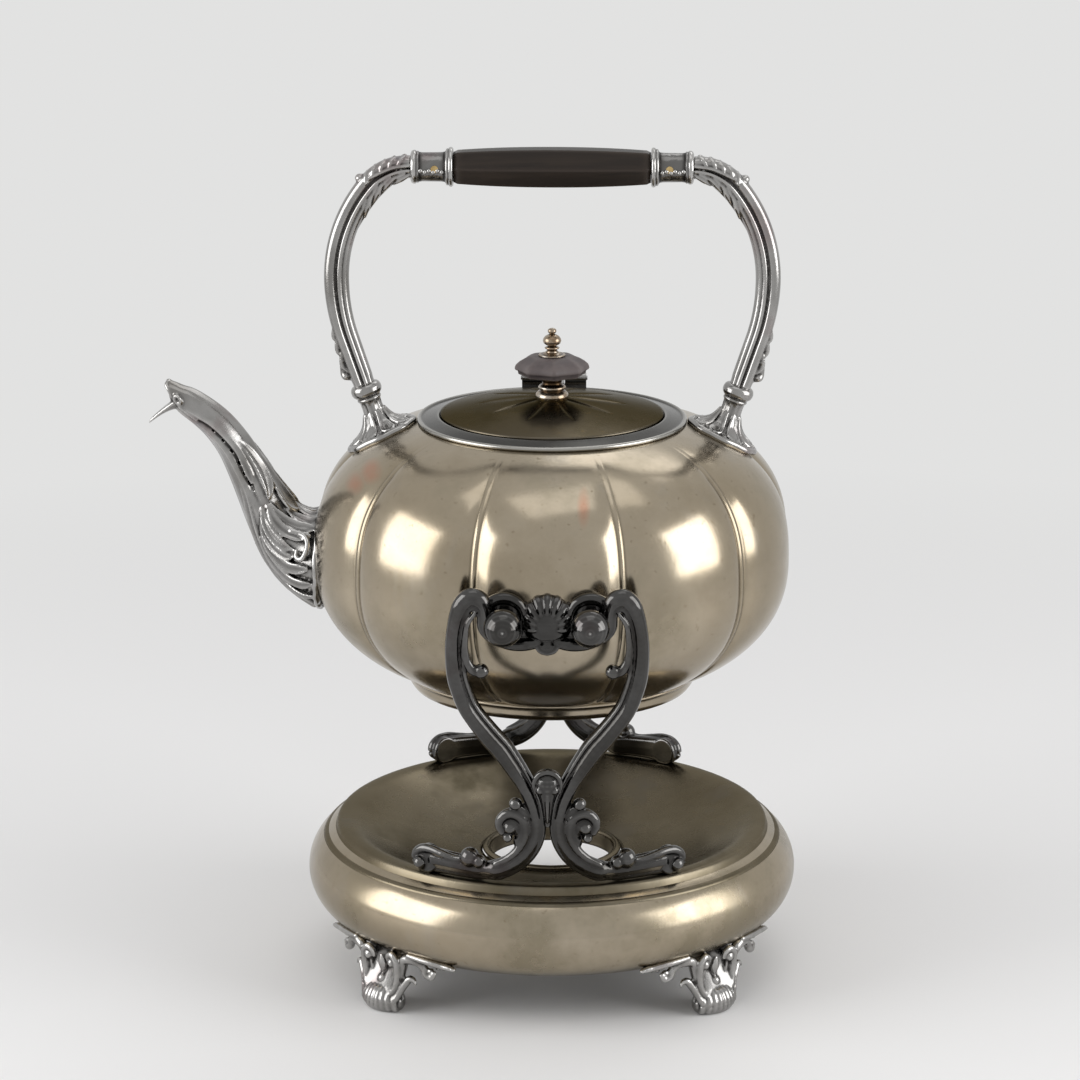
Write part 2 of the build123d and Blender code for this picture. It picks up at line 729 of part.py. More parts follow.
with BuildPart() as handle_ferrule_right:
    with BuildSketch(upright):
        with Locations(((grip_end + ferrule_end) / 2, grip_height + ferrule_radius / 2)):
            Rectangle(ferrule_length, ferrule_radius)
        for bead_x, bead_radius in (
            (grip_end + ferrule_bead, grip_ring),
            (ferrule_end - ferrule_bead, arm_ring),
        ):
            with Locations((bead_x, grip_height + bead_radius / 2 - ferrule_bead / 2)):
                Rectangle(2 * ferrule_bead, bead_radius - ferrule_bead)
            with Locations((bead_x, grip_height + bead_radius - ferrule_bead)):
                Circle(ferrule_bead)
        with Locations(((grip_end + ferrule_end) / 2, grip_height)):
            Rectangle(2 * ferrule_length, 2 * (grip_rod_radius + running_gap), mode=Mode.SUBTRACT)
    revolve(axis=grip_line)
    with BuildSketch(upright):
        with Locations((rivet_x, grip_height)):
            Circle(rivet_radius)
    extrude(amount=2 * ferrule_radius, both=True, mode=Mode.SUBTRACT)
handle_ferrule_left = mirrored(handle_ferrule_right, side_view)
save(handle_ferrule_right, "handle_ferrule_right")
save(handle_ferrule_left, "handle_ferrule_left")

with BuildPart() as ferrule_pin_right:
    with BuildSketch(upright):
        with Locations((rivet_x, grip_height)):
            Circle(rivet_radius)
    extrude(amount=ferrule_radius + rivet_head, both=True)
ferrule_pin_left = mirrored(ferrule_pin_right, side_view)
save(ferrule_pin_right, "ferrule_pin_right")
save(ferrule_pin_left, "ferrule_pin_left")

with BuildPart() as grip_rod:
    with BuildSketch(side_view.offset(-ferrule_end)):
        with Locations((0, grip_height)):
            Circle(grip_rod_radius)
    extrude(amount=2 * ferrule_end)
    with BuildSketch(upright):
        with Locations((rivet_x, grip_height), (-rivet_x, grip_height)):
            Circle(rivet_radius)
    extrude(amount=2 * grip_rod_radius, both=True, mode=Mode.SUBTRACT)
save(grip_rod, "grip_rod")

with BuildPart() as grip:
    for share, corner in ((-1, grip_end_radius), (0, grip_radius), (1, grip_end_radius)):
        with BuildSketch(side_view.offset(share * grip_end)):
            with Locations((0, grip_height)):
                RegularPolygon(corner, grip_sides)
    loft()
    with BuildSketch(side_view.offset(-grip_end)):
        with Locations((0, grip_height)):
            Circle(grip_rod_radius + running_gap)
    extrude(amount=grip_length, mode=Mode.SUBTRACT)
save(grip, "grip")

# ---------------------------------------------------------------- lid
lid_top = lid_seat + lid_edge + lid_crown
bolt_hole = bolt_radius + running_gap

with BuildPart() as lid_dome:
    with BuildSketch(upright):
        with BuildLine():
            Line((lid_radius, lid_seat), (lid_radius, lid_seat + lid_edge))
            SagittaArc((lid_radius, lid_seat + lid_edge), (crown_flat, lid_top), -lid_bow)
            Line((crown_flat, lid_top), (bolt_hole, lid_top))
            Line((bolt_hole, lid_top), (bolt_hole, lid_top - sheet))
            Line((bolt_hole, lid_top - sheet), (crown_flat, lid_top - sheet))
            SagittaArc((crown_flat, lid_top - sheet), (lid_hollow, lid_seat + lid_edge), 0.8 * lid_bow)
            Line((lid_hollow, lid_seat + lid_edge), (lid_hollow, lid_seat))
            Line((lid_hollow, lid_seat), (lid_radius, lid_seat))
        make_face()
    revolve(axis=kettle_axis)
save(lid_dome, "lid_dome")

lid_bezel = ring(
    (bezel_radius, lid_seat),
    (bezel_radius, lid_seat - bezel_depth),
    (bezel_radius - bezel_sheet, lid_seat - bezel_depth),
    (bezel_radius - bezel_sheet, lid_seat),
)
save(lid_bezel, "lid_bezel")

knob_base = lid_top + knob_collar_height
with BuildPart() as knob_collar:
    with BuildSketch(upright):
        with BuildLine():
            Polyline(
                (bolt_hole, lid_top),
                (0.94 * knob_collar_radius, lid_top),
                (knob_collar_radius, lid_top + 0.13 * knob_collar_height),
                (0.94 * knob_collar_radius, lid_top + 0.26 * knob_collar_height),
                (0.79 * knob_collar_radius, lid_top + 0.34 * knob_collar_height),
                (0.90 * knob_collar_radius, lid_top + 0.46 * knob_collar_height),
                (0.83 * knob_collar_radius, lid_top + 0.59 * knob_collar_height),
                (0.67 * knob_collar_radius, lid_top + 0.71 * knob_collar_height),
                (0.79 * knob_collar_radius, knob_base),
                (bolt_hole, knob_base),
                close=True,
            )
        make_face()
    revolve(axis=kettle_axis)
save(knob_collar, "knob_collar")

knob_steps = (
    (0.00, 0.74),
    (0.21, 0.97),
    (0.37, 1.00),
    (0.68, 0.85),
    (0.89, 0.61),
    (1.00, 0.38),
)
with BuildPart() as knob:
    for share, spread in knob_steps:
        with BuildSketch(level.offset(knob_base + share * knob_height)):
            RegularPolygon(spread * knob_radius, knob_facets, rotation=knob_turn)
    loft(ruled=True)
    with BuildSketch(level.offset(knob_base)):
        Circle(bolt_hole)
    extrude(amount=knob_height, mode=Mode.SUBTRACT)
save(knob, "knob")

washer_base = knob_base + knob_height
knob_washer = ring(
    (bolt_hole, washer_base),
    (washer_radius, washer_base),
    (washer_radius, washer_base + 0.4 * washer_height),
    (0.74 * washer_radius, washer_base + washer_height),
    (bolt_hole, washer_base + washer_height),
)
save(knob_washer, "knob_washer")

finial_base = washer_base + washer_height
nut_base = lid_top - sheet - nut_height
ball_centre = finial_base + finial_rise
with BuildPart() as finial:
    with BuildSketch(upright):
        with BuildLine():
            Polyline(
                (0, nut_base),
                (bolt_radius, nut_base),
                (bolt_radius, finial_base),
                (finial_neck, finial_base),
                (finial_flange, finial_base + 0.30 * finial_rise),
                (finial_flange, finial_base + 0.45 * finial_rise),
                (finial_neck, finial_base + 0.60 * finial_rise),
                (finial_neck, ball_centre),
                (0, ball_centre),
                close=True,
            )
        make_face()
    revolve(axis=kettle_axis)
    with Locations((axis_x, 0, ball_centre)):
        Sphere(finial_ball)
    with Locations((axis_x, 0, ball_centre + finial_ball - finial_tip / 2)):
        Sphere(finial_tip)
save(finial, "finial")

with BuildPart() as knob_nut:
    with BuildSketch(level.offset(nut_base)):
        RegularPolygon(nut_radius, 6)
        Circle(bolt_radius, mode=Mode.SUBTRACT)
    extrude(amount=nut_height)
save(knob_nut, "knob_nut")

# ---------------------------------------------------------------- lid hinge
barrel_bottom = hinge_height - barrel_radius
leaf_foot = mouth_plane + collar_lip
knuckle_outer = (hinge_width - knuckle_width) / 2

with BuildPart() as hinge_fixed_leaf:
    with BuildSketch(side_view):
        with Locations((hinge_y, (leaf_foot + barrel_bottom - joint_gap) / 2)):
            Rectangle(fixed_leaf_sheet, barrel_bottom - joint_gap - leaf_foot)
    extrude(amount=hinge_width / 2, both=True)
    for side in (-1, 1):
        with BuildSketch(side_view.offset(side * (knuckle_width + knuckle_outer) / 2)):
            with Locations((hinge_y, hinge_height)):
                Circle(barrel_radius)
            with Locations((hinge_y, (leaf_foot + hinge_height) / 2)):
                Rectangle(fixed_leaf_sheet, hinge_height - leaf_foot)
        extrude(amount=knuckle_outer / 2, both=True)
    with BuildSketch(side_view):
        with Locations((hinge_y, hinge_height)):
            Circle(hinge_pin_radius + running_gap)
    extrude(amount=hinge_width, both=True, mode=Mode.SUBTRACT)
    add(lid_collar.part, mode=Mode.SUBTRACT)
save(hinge_fixed_leaf, "hinge_fixed_leaf")

with BuildPart() as hinge_pin:
    with BuildSketch(side_view):
        with Locations((hinge_y, hinge_height)):
            Circle(hinge_pin_radius)
    extrude(amount=hinge_width / 2 + pin_end, both=True)
save(hinge_pin, "hinge_pin")

leaf_top = hinge_height + leaf_top_rise
leaf_tip = hinge_y - leaf_reach
with BuildPart() as hinge_lid_leaf:
    with BuildSketch(side_view):
        with BuildLine():
            Polyline(
                (hinge_y, leaf_top),
                (hinge_y, leaf_top - leaf_sheet),
                (lid_radius - leaf_sheet, lid_seat + lid_edge + leaf_sheet),
                (leaf_tip, lid_seat + lid_edge + leaf_sheet),
                (leaf_tip, leaf_top),
                close=True,
            )
        make_face()
        with Locations((hinge_y, hinge_height)):
            Circle(barrel_radius)
            Circle(hinge_pin_radius + running_gap, mode=Mode.SUBTRACT)
    extrude(amount=knuckle_width / 2 - joint_gap, both=True)
    add(lid_dome.part, mode=Mode.SUBTRACT)
save(hinge_lid_leaf, "hinge_lid_leaf")
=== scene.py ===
from math import asin, atan2, cos, degrees, exp, pi, radians, sin, sqrt, tan

import bmesh
import bpy
import numpy as np
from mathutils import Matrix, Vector


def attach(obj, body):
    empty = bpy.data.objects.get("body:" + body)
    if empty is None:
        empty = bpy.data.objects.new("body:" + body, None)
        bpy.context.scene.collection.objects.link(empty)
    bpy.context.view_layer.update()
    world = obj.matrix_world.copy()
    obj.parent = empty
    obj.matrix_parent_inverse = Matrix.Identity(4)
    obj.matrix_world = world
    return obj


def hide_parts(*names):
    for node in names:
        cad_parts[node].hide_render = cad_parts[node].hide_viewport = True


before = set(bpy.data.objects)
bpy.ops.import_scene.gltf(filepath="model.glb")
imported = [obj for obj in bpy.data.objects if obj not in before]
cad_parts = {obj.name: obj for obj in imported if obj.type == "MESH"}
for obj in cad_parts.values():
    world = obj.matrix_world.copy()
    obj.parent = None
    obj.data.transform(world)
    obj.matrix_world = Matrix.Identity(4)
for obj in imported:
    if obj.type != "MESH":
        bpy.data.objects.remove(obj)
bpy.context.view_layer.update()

# Sizes of the object are in millimetres about the kettle's upright axis, turned to metres by `metres`.
# Floor, lamps, camera and the sizes that go into geometry trees are in metres.
AXIS_X = 32.25
AXIS_M = AXIS_X / 1000
RIM_Z = 61.2
STUD_X = 17.15
STUD_Z = 178.0
MOUTH_Z = 234.0
FLOOR_Z = 129.0
ROLL_R = 85.0
ROLL_Z = 40.5
ROLL_ROUND = 18.7
GRIP_Z = 340.4


def metres(points):
    return [((x + AXIS_X) / 1000, y / 1000, z / 1000) for x, y, z in points]


# ---------------------------------------------------------------- node maths
class Val:
    """A node socket that takes part in Python arithmetic. Each operation adds a Math node."""

    def __init__(self, tree, socket):
        self.tree = tree
        self.socket = socket

    def _math(self, operation, *values):
        return node(self.tree, "ShaderNodeMath", {"operation": operation}, *values)

    def __add__(self, other):
        return self._math("ADD", self, other)

    def __sub__(self, other):
        return self._math("SUBTRACT", self, other)

    def __mul__(self, other):
        return self._math("MULTIPLY", self, other)

    def __truediv__(self, other):
        return self._math("DIVIDE", self, other)

    def __pow__(self, other):
        return self._math("POWER", self, other)

    def __radd__(self, other):
        return self._math("ADD", other, self)

    def __rsub__(self, other):
        return self._math("SUBTRACT", other, self)

    def __rmul__(self, other):
        return self._math("MULTIPLY", other, self)

    def __rtruediv__(self, other):
        return self._math("DIVIDE", other, self)

    def abs(self):
        return self._math("ABSOLUTE", self)

    def fract(self):
        return self._math("FRACT", self)

    def at_least(self, other):
        return self._math("MAXIMUM", self, other)

    def at_most(self, other):
        return self._math("MINIMUM", self, other)

    def below(self, other):
        return self._math("LESS_THAN", self, other)

    def unit(self):
        """Limited to the range from 0 to 1."""
        return self.at_least(0.0).at_most(1.0)


def node(tree, kind, settings, *values, out=0, **named):
    """Adds a node: settings first, then values or links by socket order or by socket name."""
    made = tree.nodes.new(kind)
    for key, value in settings.items():
        if key == "stops":
            ramp = made.color_ramp
            while len(ramp.elements) < len(value):
                ramp.elements.new(0.5)
            for element, (place, colour) in zip(ramp.elements, value):
                element.position = place
                element.color = (*colour, 1.0)
        else:
            setattr(made, key, value)
    given = list(enumerate(values)) + [(key.replace("_", " "), value) for key, value in named.items()]
    for key, value in given:
        if value is None:
            continue
        if isinstance(value, Val):
            tree.links.new(value.socket, made.inputs[key])
        else:
            made.inputs[key].default_value = value
    return Val(tree, made.outputs[out])


def mix_colour(tree, share, first, second):
    made = tree.nodes.new("ShaderNodeMix")
    made.data_type = "RGBA"
    for socket, value in ((made.inputs[0], share), (made.inputs[6], first), (made.inputs[7], second)):
        if isinstance(value, Val):
            tree.links.new(value.socket, socket)
        elif isinstance(value, tuple):
            socket.default_value = (*value, 1.0)
        else:
            socket.default_value = value
    return Val(tree, made.outputs[2])


class Finish:
    """A material's node tree with its shader, and the few patterns that the finishes share."""

    def __init__(self, name, **constants):
        self.material = bpy.data.materials.new(name)
        self.material.use_nodes = True
        self.tree = self.material.node_tree
        self.shader = self.tree.nodes["Principled BSDF"]
        self.set(**constants)
        place = self.tree.nodes.new("ShaderNodeTexCoord")
        self.place = Val(self.tree, place.outputs["Object"])

    def set(self, **values):
        for key, value in values.items():
            socket = self.shader.inputs[key.replace("_", " ")]
            if isinstance(value, Val):
                self.tree.links.new(value.socket, socket)
            elif isinstance(value, tuple):
                socket.default_value = (*value, 1.0)
            else:
                socket.default_value = value

    def noise(self, scale, detail=2.0, rough=0.5, stretch=(1, 1, 1), shift=(0, 0, 0)):
        placed = node(self.tree, "ShaderNodeMapping", {}, self.place, shift, (0, 0, 0), stretch)
        return node(
            self.tree, "ShaderNodeTexNoise", {}, Vector=placed, Scale=scale, Detail=detail, Roughness=rough
        )

    def mark(self, name):
        """What `mark_relief` stored on the piece: its recess or its edge."""
        return node(self.tree, "ShaderNodeAttribute", {"attribute_name": name}, out=2)

    def spot(self, centre, size):
        """1 in the middle of an oval place on the piece, falling to 0 at its edge."""
        x, y, z = centre
        away = node(
            self.tree, "ShaderNodeVectorMath", {"operation": "SUBTRACT"}, self.place,
            ((x + AXIS_X) / 1000, y / 1000, z / 1000),
        )
        scaled = node(
            self.tree, "ShaderNodeVectorMath", {"operation": "DIVIDE"}, away,
            tuple(s / 1000 for s in size),
        )
        reach = node(self.tree, "ShaderNodeVectorMath", {"operation": "LENGTH"}, scaled, out=1)
        return (1.0 - reach).unit()

    def ramp(self, value, *stops):
        return node(self.tree, "ShaderNodeValToRGB", {"stops": stops}, value)

    def bump(self, height, strength, distance):
        return node(self.tree, "ShaderNodeBump", {}, Strength=strength, Distance=distance, Height=height)


# ---------------------------------------------------------------- finishes
def warm_plate(name, tint=1.0, olive=0.5, blue=1.0, haze=0.15, edge=(1.0, 1.0, 1.0)):
    """Spun silver plate with a warm, uneven tarnish, and painted shade in its hollows."""
    f = Finish(name, Metallic=1.0, Specular_Tint=edge)
    t = f.tree
    cloud = f.noise(13, 6, 0.66)
    broad = f.noise(5.5, 3, 0.5, shift=(3.1, 0.4, 1.7))
    fine = f.noise(130, 4, 0.6)
    streak = f.noise(38, 4, 0.6, stretch=(1, 1, 0.35), shift=(0.4, 1.9, 0.2))
    tone = f.ramp(
        broad * 0.55 + cloud * 0.45,
        (0.34, (0.255 * tint, 0.210 * tint, 0.145 * tint * blue)),
        (0.46, (0.355 * tint, 0.301 * tint, 0.222 * tint * blue)),
        (0.57, (0.440 * tint, 0.384 * tint, 0.300 * tint * blue)),
        (0.70, (0.510 * tint, 0.462 * tint, 0.388 * tint * blue)),
    )
    stain = ((cloud - 0.49) * 7.0).unit() * olive
    tone = mix_colour(t, stain, tone, (0.165 * tint, 0.138 * tint, 0.082 * tint))
    bloom = ((streak - 0.56) * 5.0).unit() * 0.35
    tone = mix_colour(t, bloom, tone, (0.33 * tint, 0.315 * tint, 0.290 * tint))
    speck = ((f.noise(420, 2, 0.5) - 0.66) * 9.0).unit() * 0.4
    tone = mix_colour(t, speck, tone, (0.17, 0.120, 0.065))
    # Darker in hollows by the stored recess: painted shade, with some tarnish patina there.
    tone = mix_colour(t, (f.mark("recess") * 1.3).unit() * 0.8, tone, (0.085, 0.068, 0.040))
    f.tone = tone
    f.set(
        Base_Color=tone,
        Roughness=(haze + stain * 0.16 + bloom * 0.2 + fine * 0.08 + f.mark("recess") * 0.25).unit(),
        Normal=f.bump(f.noise(900, 2, 0.5, stretch=(1, 1, 0.06)) + fine * 0.6, 0.035, 0.0004),
    )
    return f


# Worn places of the kettle's plate as (centre, half size): two on its left shoulder, one on its front.
COPPER_SPOTS = (
    ((-73, -37, 221), (6, 15, 5)), ((-79, -34, 215.5), (6, 14, 5)), ((14.1, -84, 218.5), (3.0, 12, 10)),
)


def body_plate():
    """The kettle's plate, with the places where the copper shows through."""
    f = warm_plate("warm_silver_plate")
    worn = f.noise(95, 4, 0.65)
    shoulder, lower, front = (f.spot(centre, size) for centre, size in COPPER_SPOTS)
    copper = ((shoulder.at_least(lower) * 1.4).at_least(front * 1.4) * worn * 1.9).unit()
    f.set(Base_Color=mix_colour(f.tree, copper * 0.62, f.tone, (0.44, 0.215, 0.140)))
    return f.material


def cast_silver(name="bright_silver_plate", tint=1.0, grain=0.06, coarse=700, haze=0.13):
    """Cast and polished silver plate: cooler, with painted shade in its dark hollows, painted highlights on
    its raised edges and a faint oil-film tarnish.
    """
    f = Finish(name, Metallic=1.0)
    t = f.tree
    film = f.noise(26, 4, 0.6, shift=(0.7, 2.2, 0.3))
    cloud = f.noise(60, 4, 0.6)
    tone = f.ramp(
        film,
        (0.30, (0.250 * tint, 0.238 * tint, 0.222 * tint)),
        (0.44, (0.330 * tint, 0.322 * tint, 0.312 * tint)),
        (0.55, (0.420 * tint, 0.412 * tint, 0.402 * tint)),
        (0.64, (0.330 * tint, 0.290 * tint, 0.285 * tint)),
        (0.76, (0.250 * tint, 0.272 * tint, 0.300 * tint)),
    )
    tone = mix_colour(t, ((cloud - 0.54) * 7.0).unit() * 0.35, tone, (0.20 * tint, 0.19 * tint, 0.17 * tint))
    # Near black in hollows by the stored recess: painted shade, with some tarnish patina there.
    deep = f.mark("recess")
    tone = mix_colour(t, (deep * 1.8).unit() * 0.92, tone, (0.022, 0.020, 0.019))
    # Lighter on raised edges by the stored edge: painted highlight.
    bright = 0.45 + 0.34 * tint
    tone = mix_colour(t, f.mark("edge") * 0.7, tone, (bright, bright * 0.985, bright * 0.96))
    f.set(
        Base_Color=tone,
        Roughness=(haze + cloud * 0.12 + deep * 0.35).unit(),
        Normal=f.bump(cloud + f.noise(coarse, 2, 0.5) * 0.6, grain, 0.0005),
    )
    return f.material


def collar_plate():
    f = Finish("collar_silver_plate", Metallic=1.0)
    cloud = f.noise(45, 4, 0.6)
    # Near-black tone: painted dark reflection in the polished collar.
    tone = f.ramp(cloud, (0.35, (0.022, 0.021, 0.018)), (0.65, (0.046, 0.044, 0.038)))
    # Pale on its raised lip by the stored edge: painted highlight.
    tone = mix_colour(f.tree, (f.mark("edge") * 0.9).unit(), tone, (0.40, 0.39, 0.365))
    # Darker in hollows by the stored recess: painted shade.
    tone = mix_colour(f.tree, f.mark("recess") * 0.8, tone, (0.03, 0.027, 0.022))
    f.set(Base_Color=tone, Roughness=0.15 + cloud * 0.12, Normal=f.bump(f.noise(500, 3), 0.04, 0.0004))
    return f.material


def gilt_plate():
    f = Finish("gilt_silver_plate", Metallic=1.0)
    cloud = f.noise(150, 4, 0.6)
    tone = f.ramp(
        cloud, (0.35, (0.26, 0.185, 0.120)), (0.50, (0.38, 0.320, 0.250)), (0.66, (0.45, 0.42, 0.375))
    )
    # Darker brown in hollows by the stored recess: painted shade, with some tarnish patina there.
    tone = mix_colour(f.tree, (f.mark("recess") * 1.6).unit(), tone, (0.055, 0.034, 0.018))
    f.set(Base_Color=tone, Roughness=0.17 + cloud * 0.14, Normal=f.bump(f.noise(900, 2), 0.05, 0.0003))
    return f.material


def grip_wood():
    f = Finish("turned_hardwood", Specular_IOR_Level=0.22, Coat_Roughness=0.30)
    grain = f.noise(70, 5, 0.65, stretch=(0.09, 1, 1))
    pore = f.noise(520, 3, 0.6, stretch=(0.05, 1, 1))
    tone = f.ramp(
        grain, (0.30, (0.009, 0.007, 0.006)), (0.52, (0.018, 0.013, 0.010)), (0.70, (0.032, 0.023, 0.017))
    )
    tone = mix_colour(f.tree, ((pore - 0.58) * 8.0).unit() * 0.5, tone, (0.008, 0.006, 0.005))
    tone = mix_colour(f.tree, f.mark("edge") * 0.4, tone, (0.065, 0.048, 0.038))
    f.set(
        Base_Color=tone,
        Roughness=(0.34 + grain * 0.16 - f.mark("edge") * 0.08).unit(),
        Coat_Weight=0.04,
        Normal=f.bump(pore * 0.7 + grain * 0.3, 0.16, 0.0004),
    )
    return f.material


def knob_wood():
    f = Finish("ebonised_wood", Specular_IOR_Level=0.4)
    grain = f.noise(90, 5, 0.65, stretch=(1, 1, 0.15))
    bloom = f.noise(160, 4, 0.6)
    tone = f.ramp(
        grain * 0.6 + bloom * 0.4, (0.34, (0.028, 0.022, 0.024)), (0.50, (0.058, 0.048, 0.052)),
        (0.66, (0.105, 0.088, 0.088)),
    )
    tone = mix_colour(f.tree, f.mark("edge") * 0.5, tone, (0.165, 0.135, 0.125))
    f.set(Base_Color=tone, Roughness=0.46 + bloom * 0.2, Normal=f.bump(grain, 0.2, 0.0004))
    return f.material


def small_metal(name, dark, light, roughness):
    f = Finish(name, Metallic=1.0)
    cloud = f.noise(240, 4, 0.6)
    tone = f.ramp(cloud, (0.35, dark), (0.65, light))
    f.set(Base_Color=tone, Roughness=roughness + cloud * 0.12, Normal=f.bump(cloud, 0.08, 0.0003))
    return f.material


BODY_PLATE = body_plate()
BASE_PLATE = warm_plate("base_silver_plate", 1.0, 0.6).material
# The lid's plate is darkened, and the lid and dish get a dull tint at grazing angles: painted dark
# reflection, as of a dark room seen in the metal.
DISH_PLATE = warm_plate("dish_silver_plate", 0.46, 0.7, 0.96, 0.22, (0.62, 0.60, 0.555)).material
LID_PLATE = warm_plate("lid_silver_plate", 0.30, 0.7, 0.98, 0.20, (0.38, 0.365, 0.33)).material
INNER_PLATE = warm_plate("inside_silver_plate", 0.60, 0.9).material
CAST = cast_silver("bright_silver_plate", 0.80)
GRAINED_SILVER = cast_silver("grained_silver_plate", 0.50, 1.0, 260)
# The arms' plate is made very dark: a painted dark reflection, as of a dark room seen in the metal.
ARM_SILVER = cast_silver("arm_silver_plate", 0.18, haze=0.07)
COLLAR = collar_plate()
GILT = gilt_plate()
GRIP_WOOD = grip_wood()
KNOB_WOOD = knob_wood()
BRASS = small_metal("rivet_brass", (0.42, 0.29, 0.12), (0.66, 0.50, 0.24), 0.26)
STEEL = small_metal("plain_steel", (0.25, 0.25, 0.25), (0.40, 0.40, 0.39), 0.30)


# ---------------------------------------------------------------- mesh tools
def spline(points, count):
    """Smooth line through points of any dimension, each given once; count samples."""
    p = np.array(points, float)
    ends = np.vstack([2 * p[0] - p[1], p, 2 * p[-1] - p[-2]])
    lengths = np.linalg.norm(np.diff(p[:, : min(3, p.shape[1])], axis=0), axis=1)
    knots = np.concatenate([[0], np.cumsum(lengths)])
    result = []
    for place in np.linspace(0, knots[-1], count):
        i = min(int(np.searchsorted(knots, place, side="right")) - 1, len(p) - 2)
        t = (place - knots[i]) / max(knots[i + 1] - knots[i], 1e-9)
        a, b, c, d = ends[i : i + 4]
        span = knots[i + 1] - knots[i]
        before = np.linalg.norm((b - a)[:3]) or span
        after = np.linalg.norm((d - c)[:3]) or span
        m0 = ((c - b) / span * before + (b - a) / before * span) / (span + before) * span
        m1 = ((d - c) / after * span + (c - b) / span * after) / (span + after) * span
        h = (2 * t**3 - 3 * t**2 + 1, t**3 - 2 * t**2 + t, -2 * t**3 + 3 * t**2, t**3 - t**2)
        result.append(h[0] * b + h[1] * m0 + h[2] * c + h[3] * m1)
    return np.array(result)


class Form:
    """Vertices and faces of one piece while it is put together."""

    def __init__(self):
        self.points = []
        self.faces = []

    def skin(self, rows, start=True, end=True, closed=False):
        """Joins closed rows of points into a surface, capped at its ends or closed to a ring."""
        rows = [[tuple(p) for p in row] for row in rows]
        base = len(self.points)
        width = len(rows[0])
        for row in rows:
            self.points.extend(row)
        for i in range(len(rows) if closed else len(rows) - 1):
            a, b = base + i * width, base + (i + 1) % len(rows) * width
            for j in range(width):
                k = (j + 1) % width
                self.faces.append((a + j, b + j, b + k, a + k))
        for cap, row in ((start, 0), (end, len(rows) - 1)):
            if not cap:
                continue
            middle = np.mean(rows[row], axis=0)
            self.points.append(tuple(middle))
            hub = len(self.points) - 1
            for j in range(width):
                k = (j + 1) % width
                self.faces.append((base + row * width + j, base + row * width + k, hub))
        return self

    def lathe(self, profile, steps=96, centre=(0, 0, 0), axis="z", step=0.6, flute=None, gather=(0, 0.0)):
        """Turns a closed profile of (radius, place along the axis) about an axis. `gather` is a
        number of creases, where the steps lie closer together, and how much closer."""
        line = []
        for (r0, h0), (r1, h1) in zip(profile, profile[1:] + profile[:1]):
            parts = max(1, int(sqrt((r1 - r0) ** 2 + (h1 - h0) ** 2) / step))
            line += [(r0 + (r1 - r0) * k / parts, h0 + (h1 - h0) * k / parts) for k in range(parts)]
        rows = []
        for i in range(steps):
            turn = 2 * pi * i / steps
            if gather[0]:
                turn -= gather[1] * sin(gather[0] * turn) / gather[0]
            row = []
            for r, h in line:
                r2 = flute(r, h, turn) if flute else r
                a, b = r2 * cos(turn), r2 * sin(turn)
                if axis == "z":
                    p = (centre[0] + a, centre[1] + b, centre[2] + h)
                elif axis == "y":
                    p = (centre[0] + a, centre[1] + h, centre[2] + b)
                else:
                    p = (centre[0] + h, centre[1] + a, centre[2] + b)
                row.append(p)
            rows.append(row)
        return self.skin(rows, start=False, end=False, closed=True)

    def tube(self, points, count=None, sides=12, flat=1.0, up=(0, 0, 1), dome=True):
        """Round or flattened tube along a smooth line of (x, y, z, radius)."""
        line = spline(points, count or 6 * len(points))
        centres, radii = line[:, :3], line[:, 3]
        tangents = np.gradient(centres, axis=0)
        tangents /= np.linalg.norm(tangents, axis=1)[:, None] + 1e-12
        rows = []
        reference = np.array(up, float)
        for centre, tangent, r in zip(centres, tangents, radii):
            side = np.cross(tangent, reference)
            if np.linalg.norm(side) < 1e-4:
                side = np.cross(tangent, (0.31, 0.95, 0.05))
            side /= np.linalg.norm(side)
            over = np.cross(side, tangent)
            rows.append([
                centre + r * (cos(2 * pi * i / sides) * side + flat * sin(2 * pi * i / sides) * over)
                for i in range(sides)
            ])
        if dome:
            for end, row in ((0, rows[0]), (-1, rows[-1])):
                centre, r = centres[end], radii[end]
                out = -tangents[0] if end == 0 else tangents[-1]
                extra = []
                for turn in (30, 60, 80):
                    extra.append([
                        centre + (p - centre) * cos(radians(turn)) + out * r * flat * sin(radians(turn))
                        for p in row
                    ])
                rows = extra[::-1] + rows if end == 0 else rows + extra
        return self.skin(rows)

    def run(self, place, line, **shape):
        """Tube through place(*given) for each (*given, radius) of a line."""
        return self.tube([(*place(*given), radius) for *given, radius in line], **shape)

    def ball(self, centre, radius, squash=(1, 1, 1), steps=20):
        rows = []
        c = np.array(centre, float)
        for i in range(1, steps // 2):
            polar = pi * i / (steps // 2)
            rows.append([
                c + radius * np.array((
                    squash[0] * sin(polar) * cos(2 * pi * j / steps),
                    squash[1] * sin(polar) * sin(2 * pi * j / steps),
                    squash[2] * cos(polar),
                ))
                for j in range(steps)
            ])
        return self.skin(rows)

    def mirrored(self, x=1, y=1):
        other = Form()
        other.points = [(p[0] * x, p[1] * y, p[2]) for p in self.points]
        other.faces = list(self.faces)
        return other

    def plus(self, other):
        base = len(self.points)
        self.points.extend(other.points)
        self.faces.extend(tuple(base + i for i in face) for face in other.faces)
        return self

    def placed(self, origin, x_dir, y_dir, z_dir):
        """The form moved into a frame given by an origin and three directions."""
        p = np.array([tuple(q) for q in self.points])
        moved = np.array(origin) + p[:, :1] * np.array(x_dir) + p[:, 1:2] * np.array(y_dir)
        moved = moved + p[:, 2:3] * np.array(z_dir)
        other = Form()
        other.points = [tuple(q) for q in moved]
        other.faces = list(self.faces)
        return other


def linked(name, data):
    """A new object of the scene."""
    obj = bpy.data.objects.new(name, data)
    bpy.context.scene.collection.objects.link(obj)
    return obj


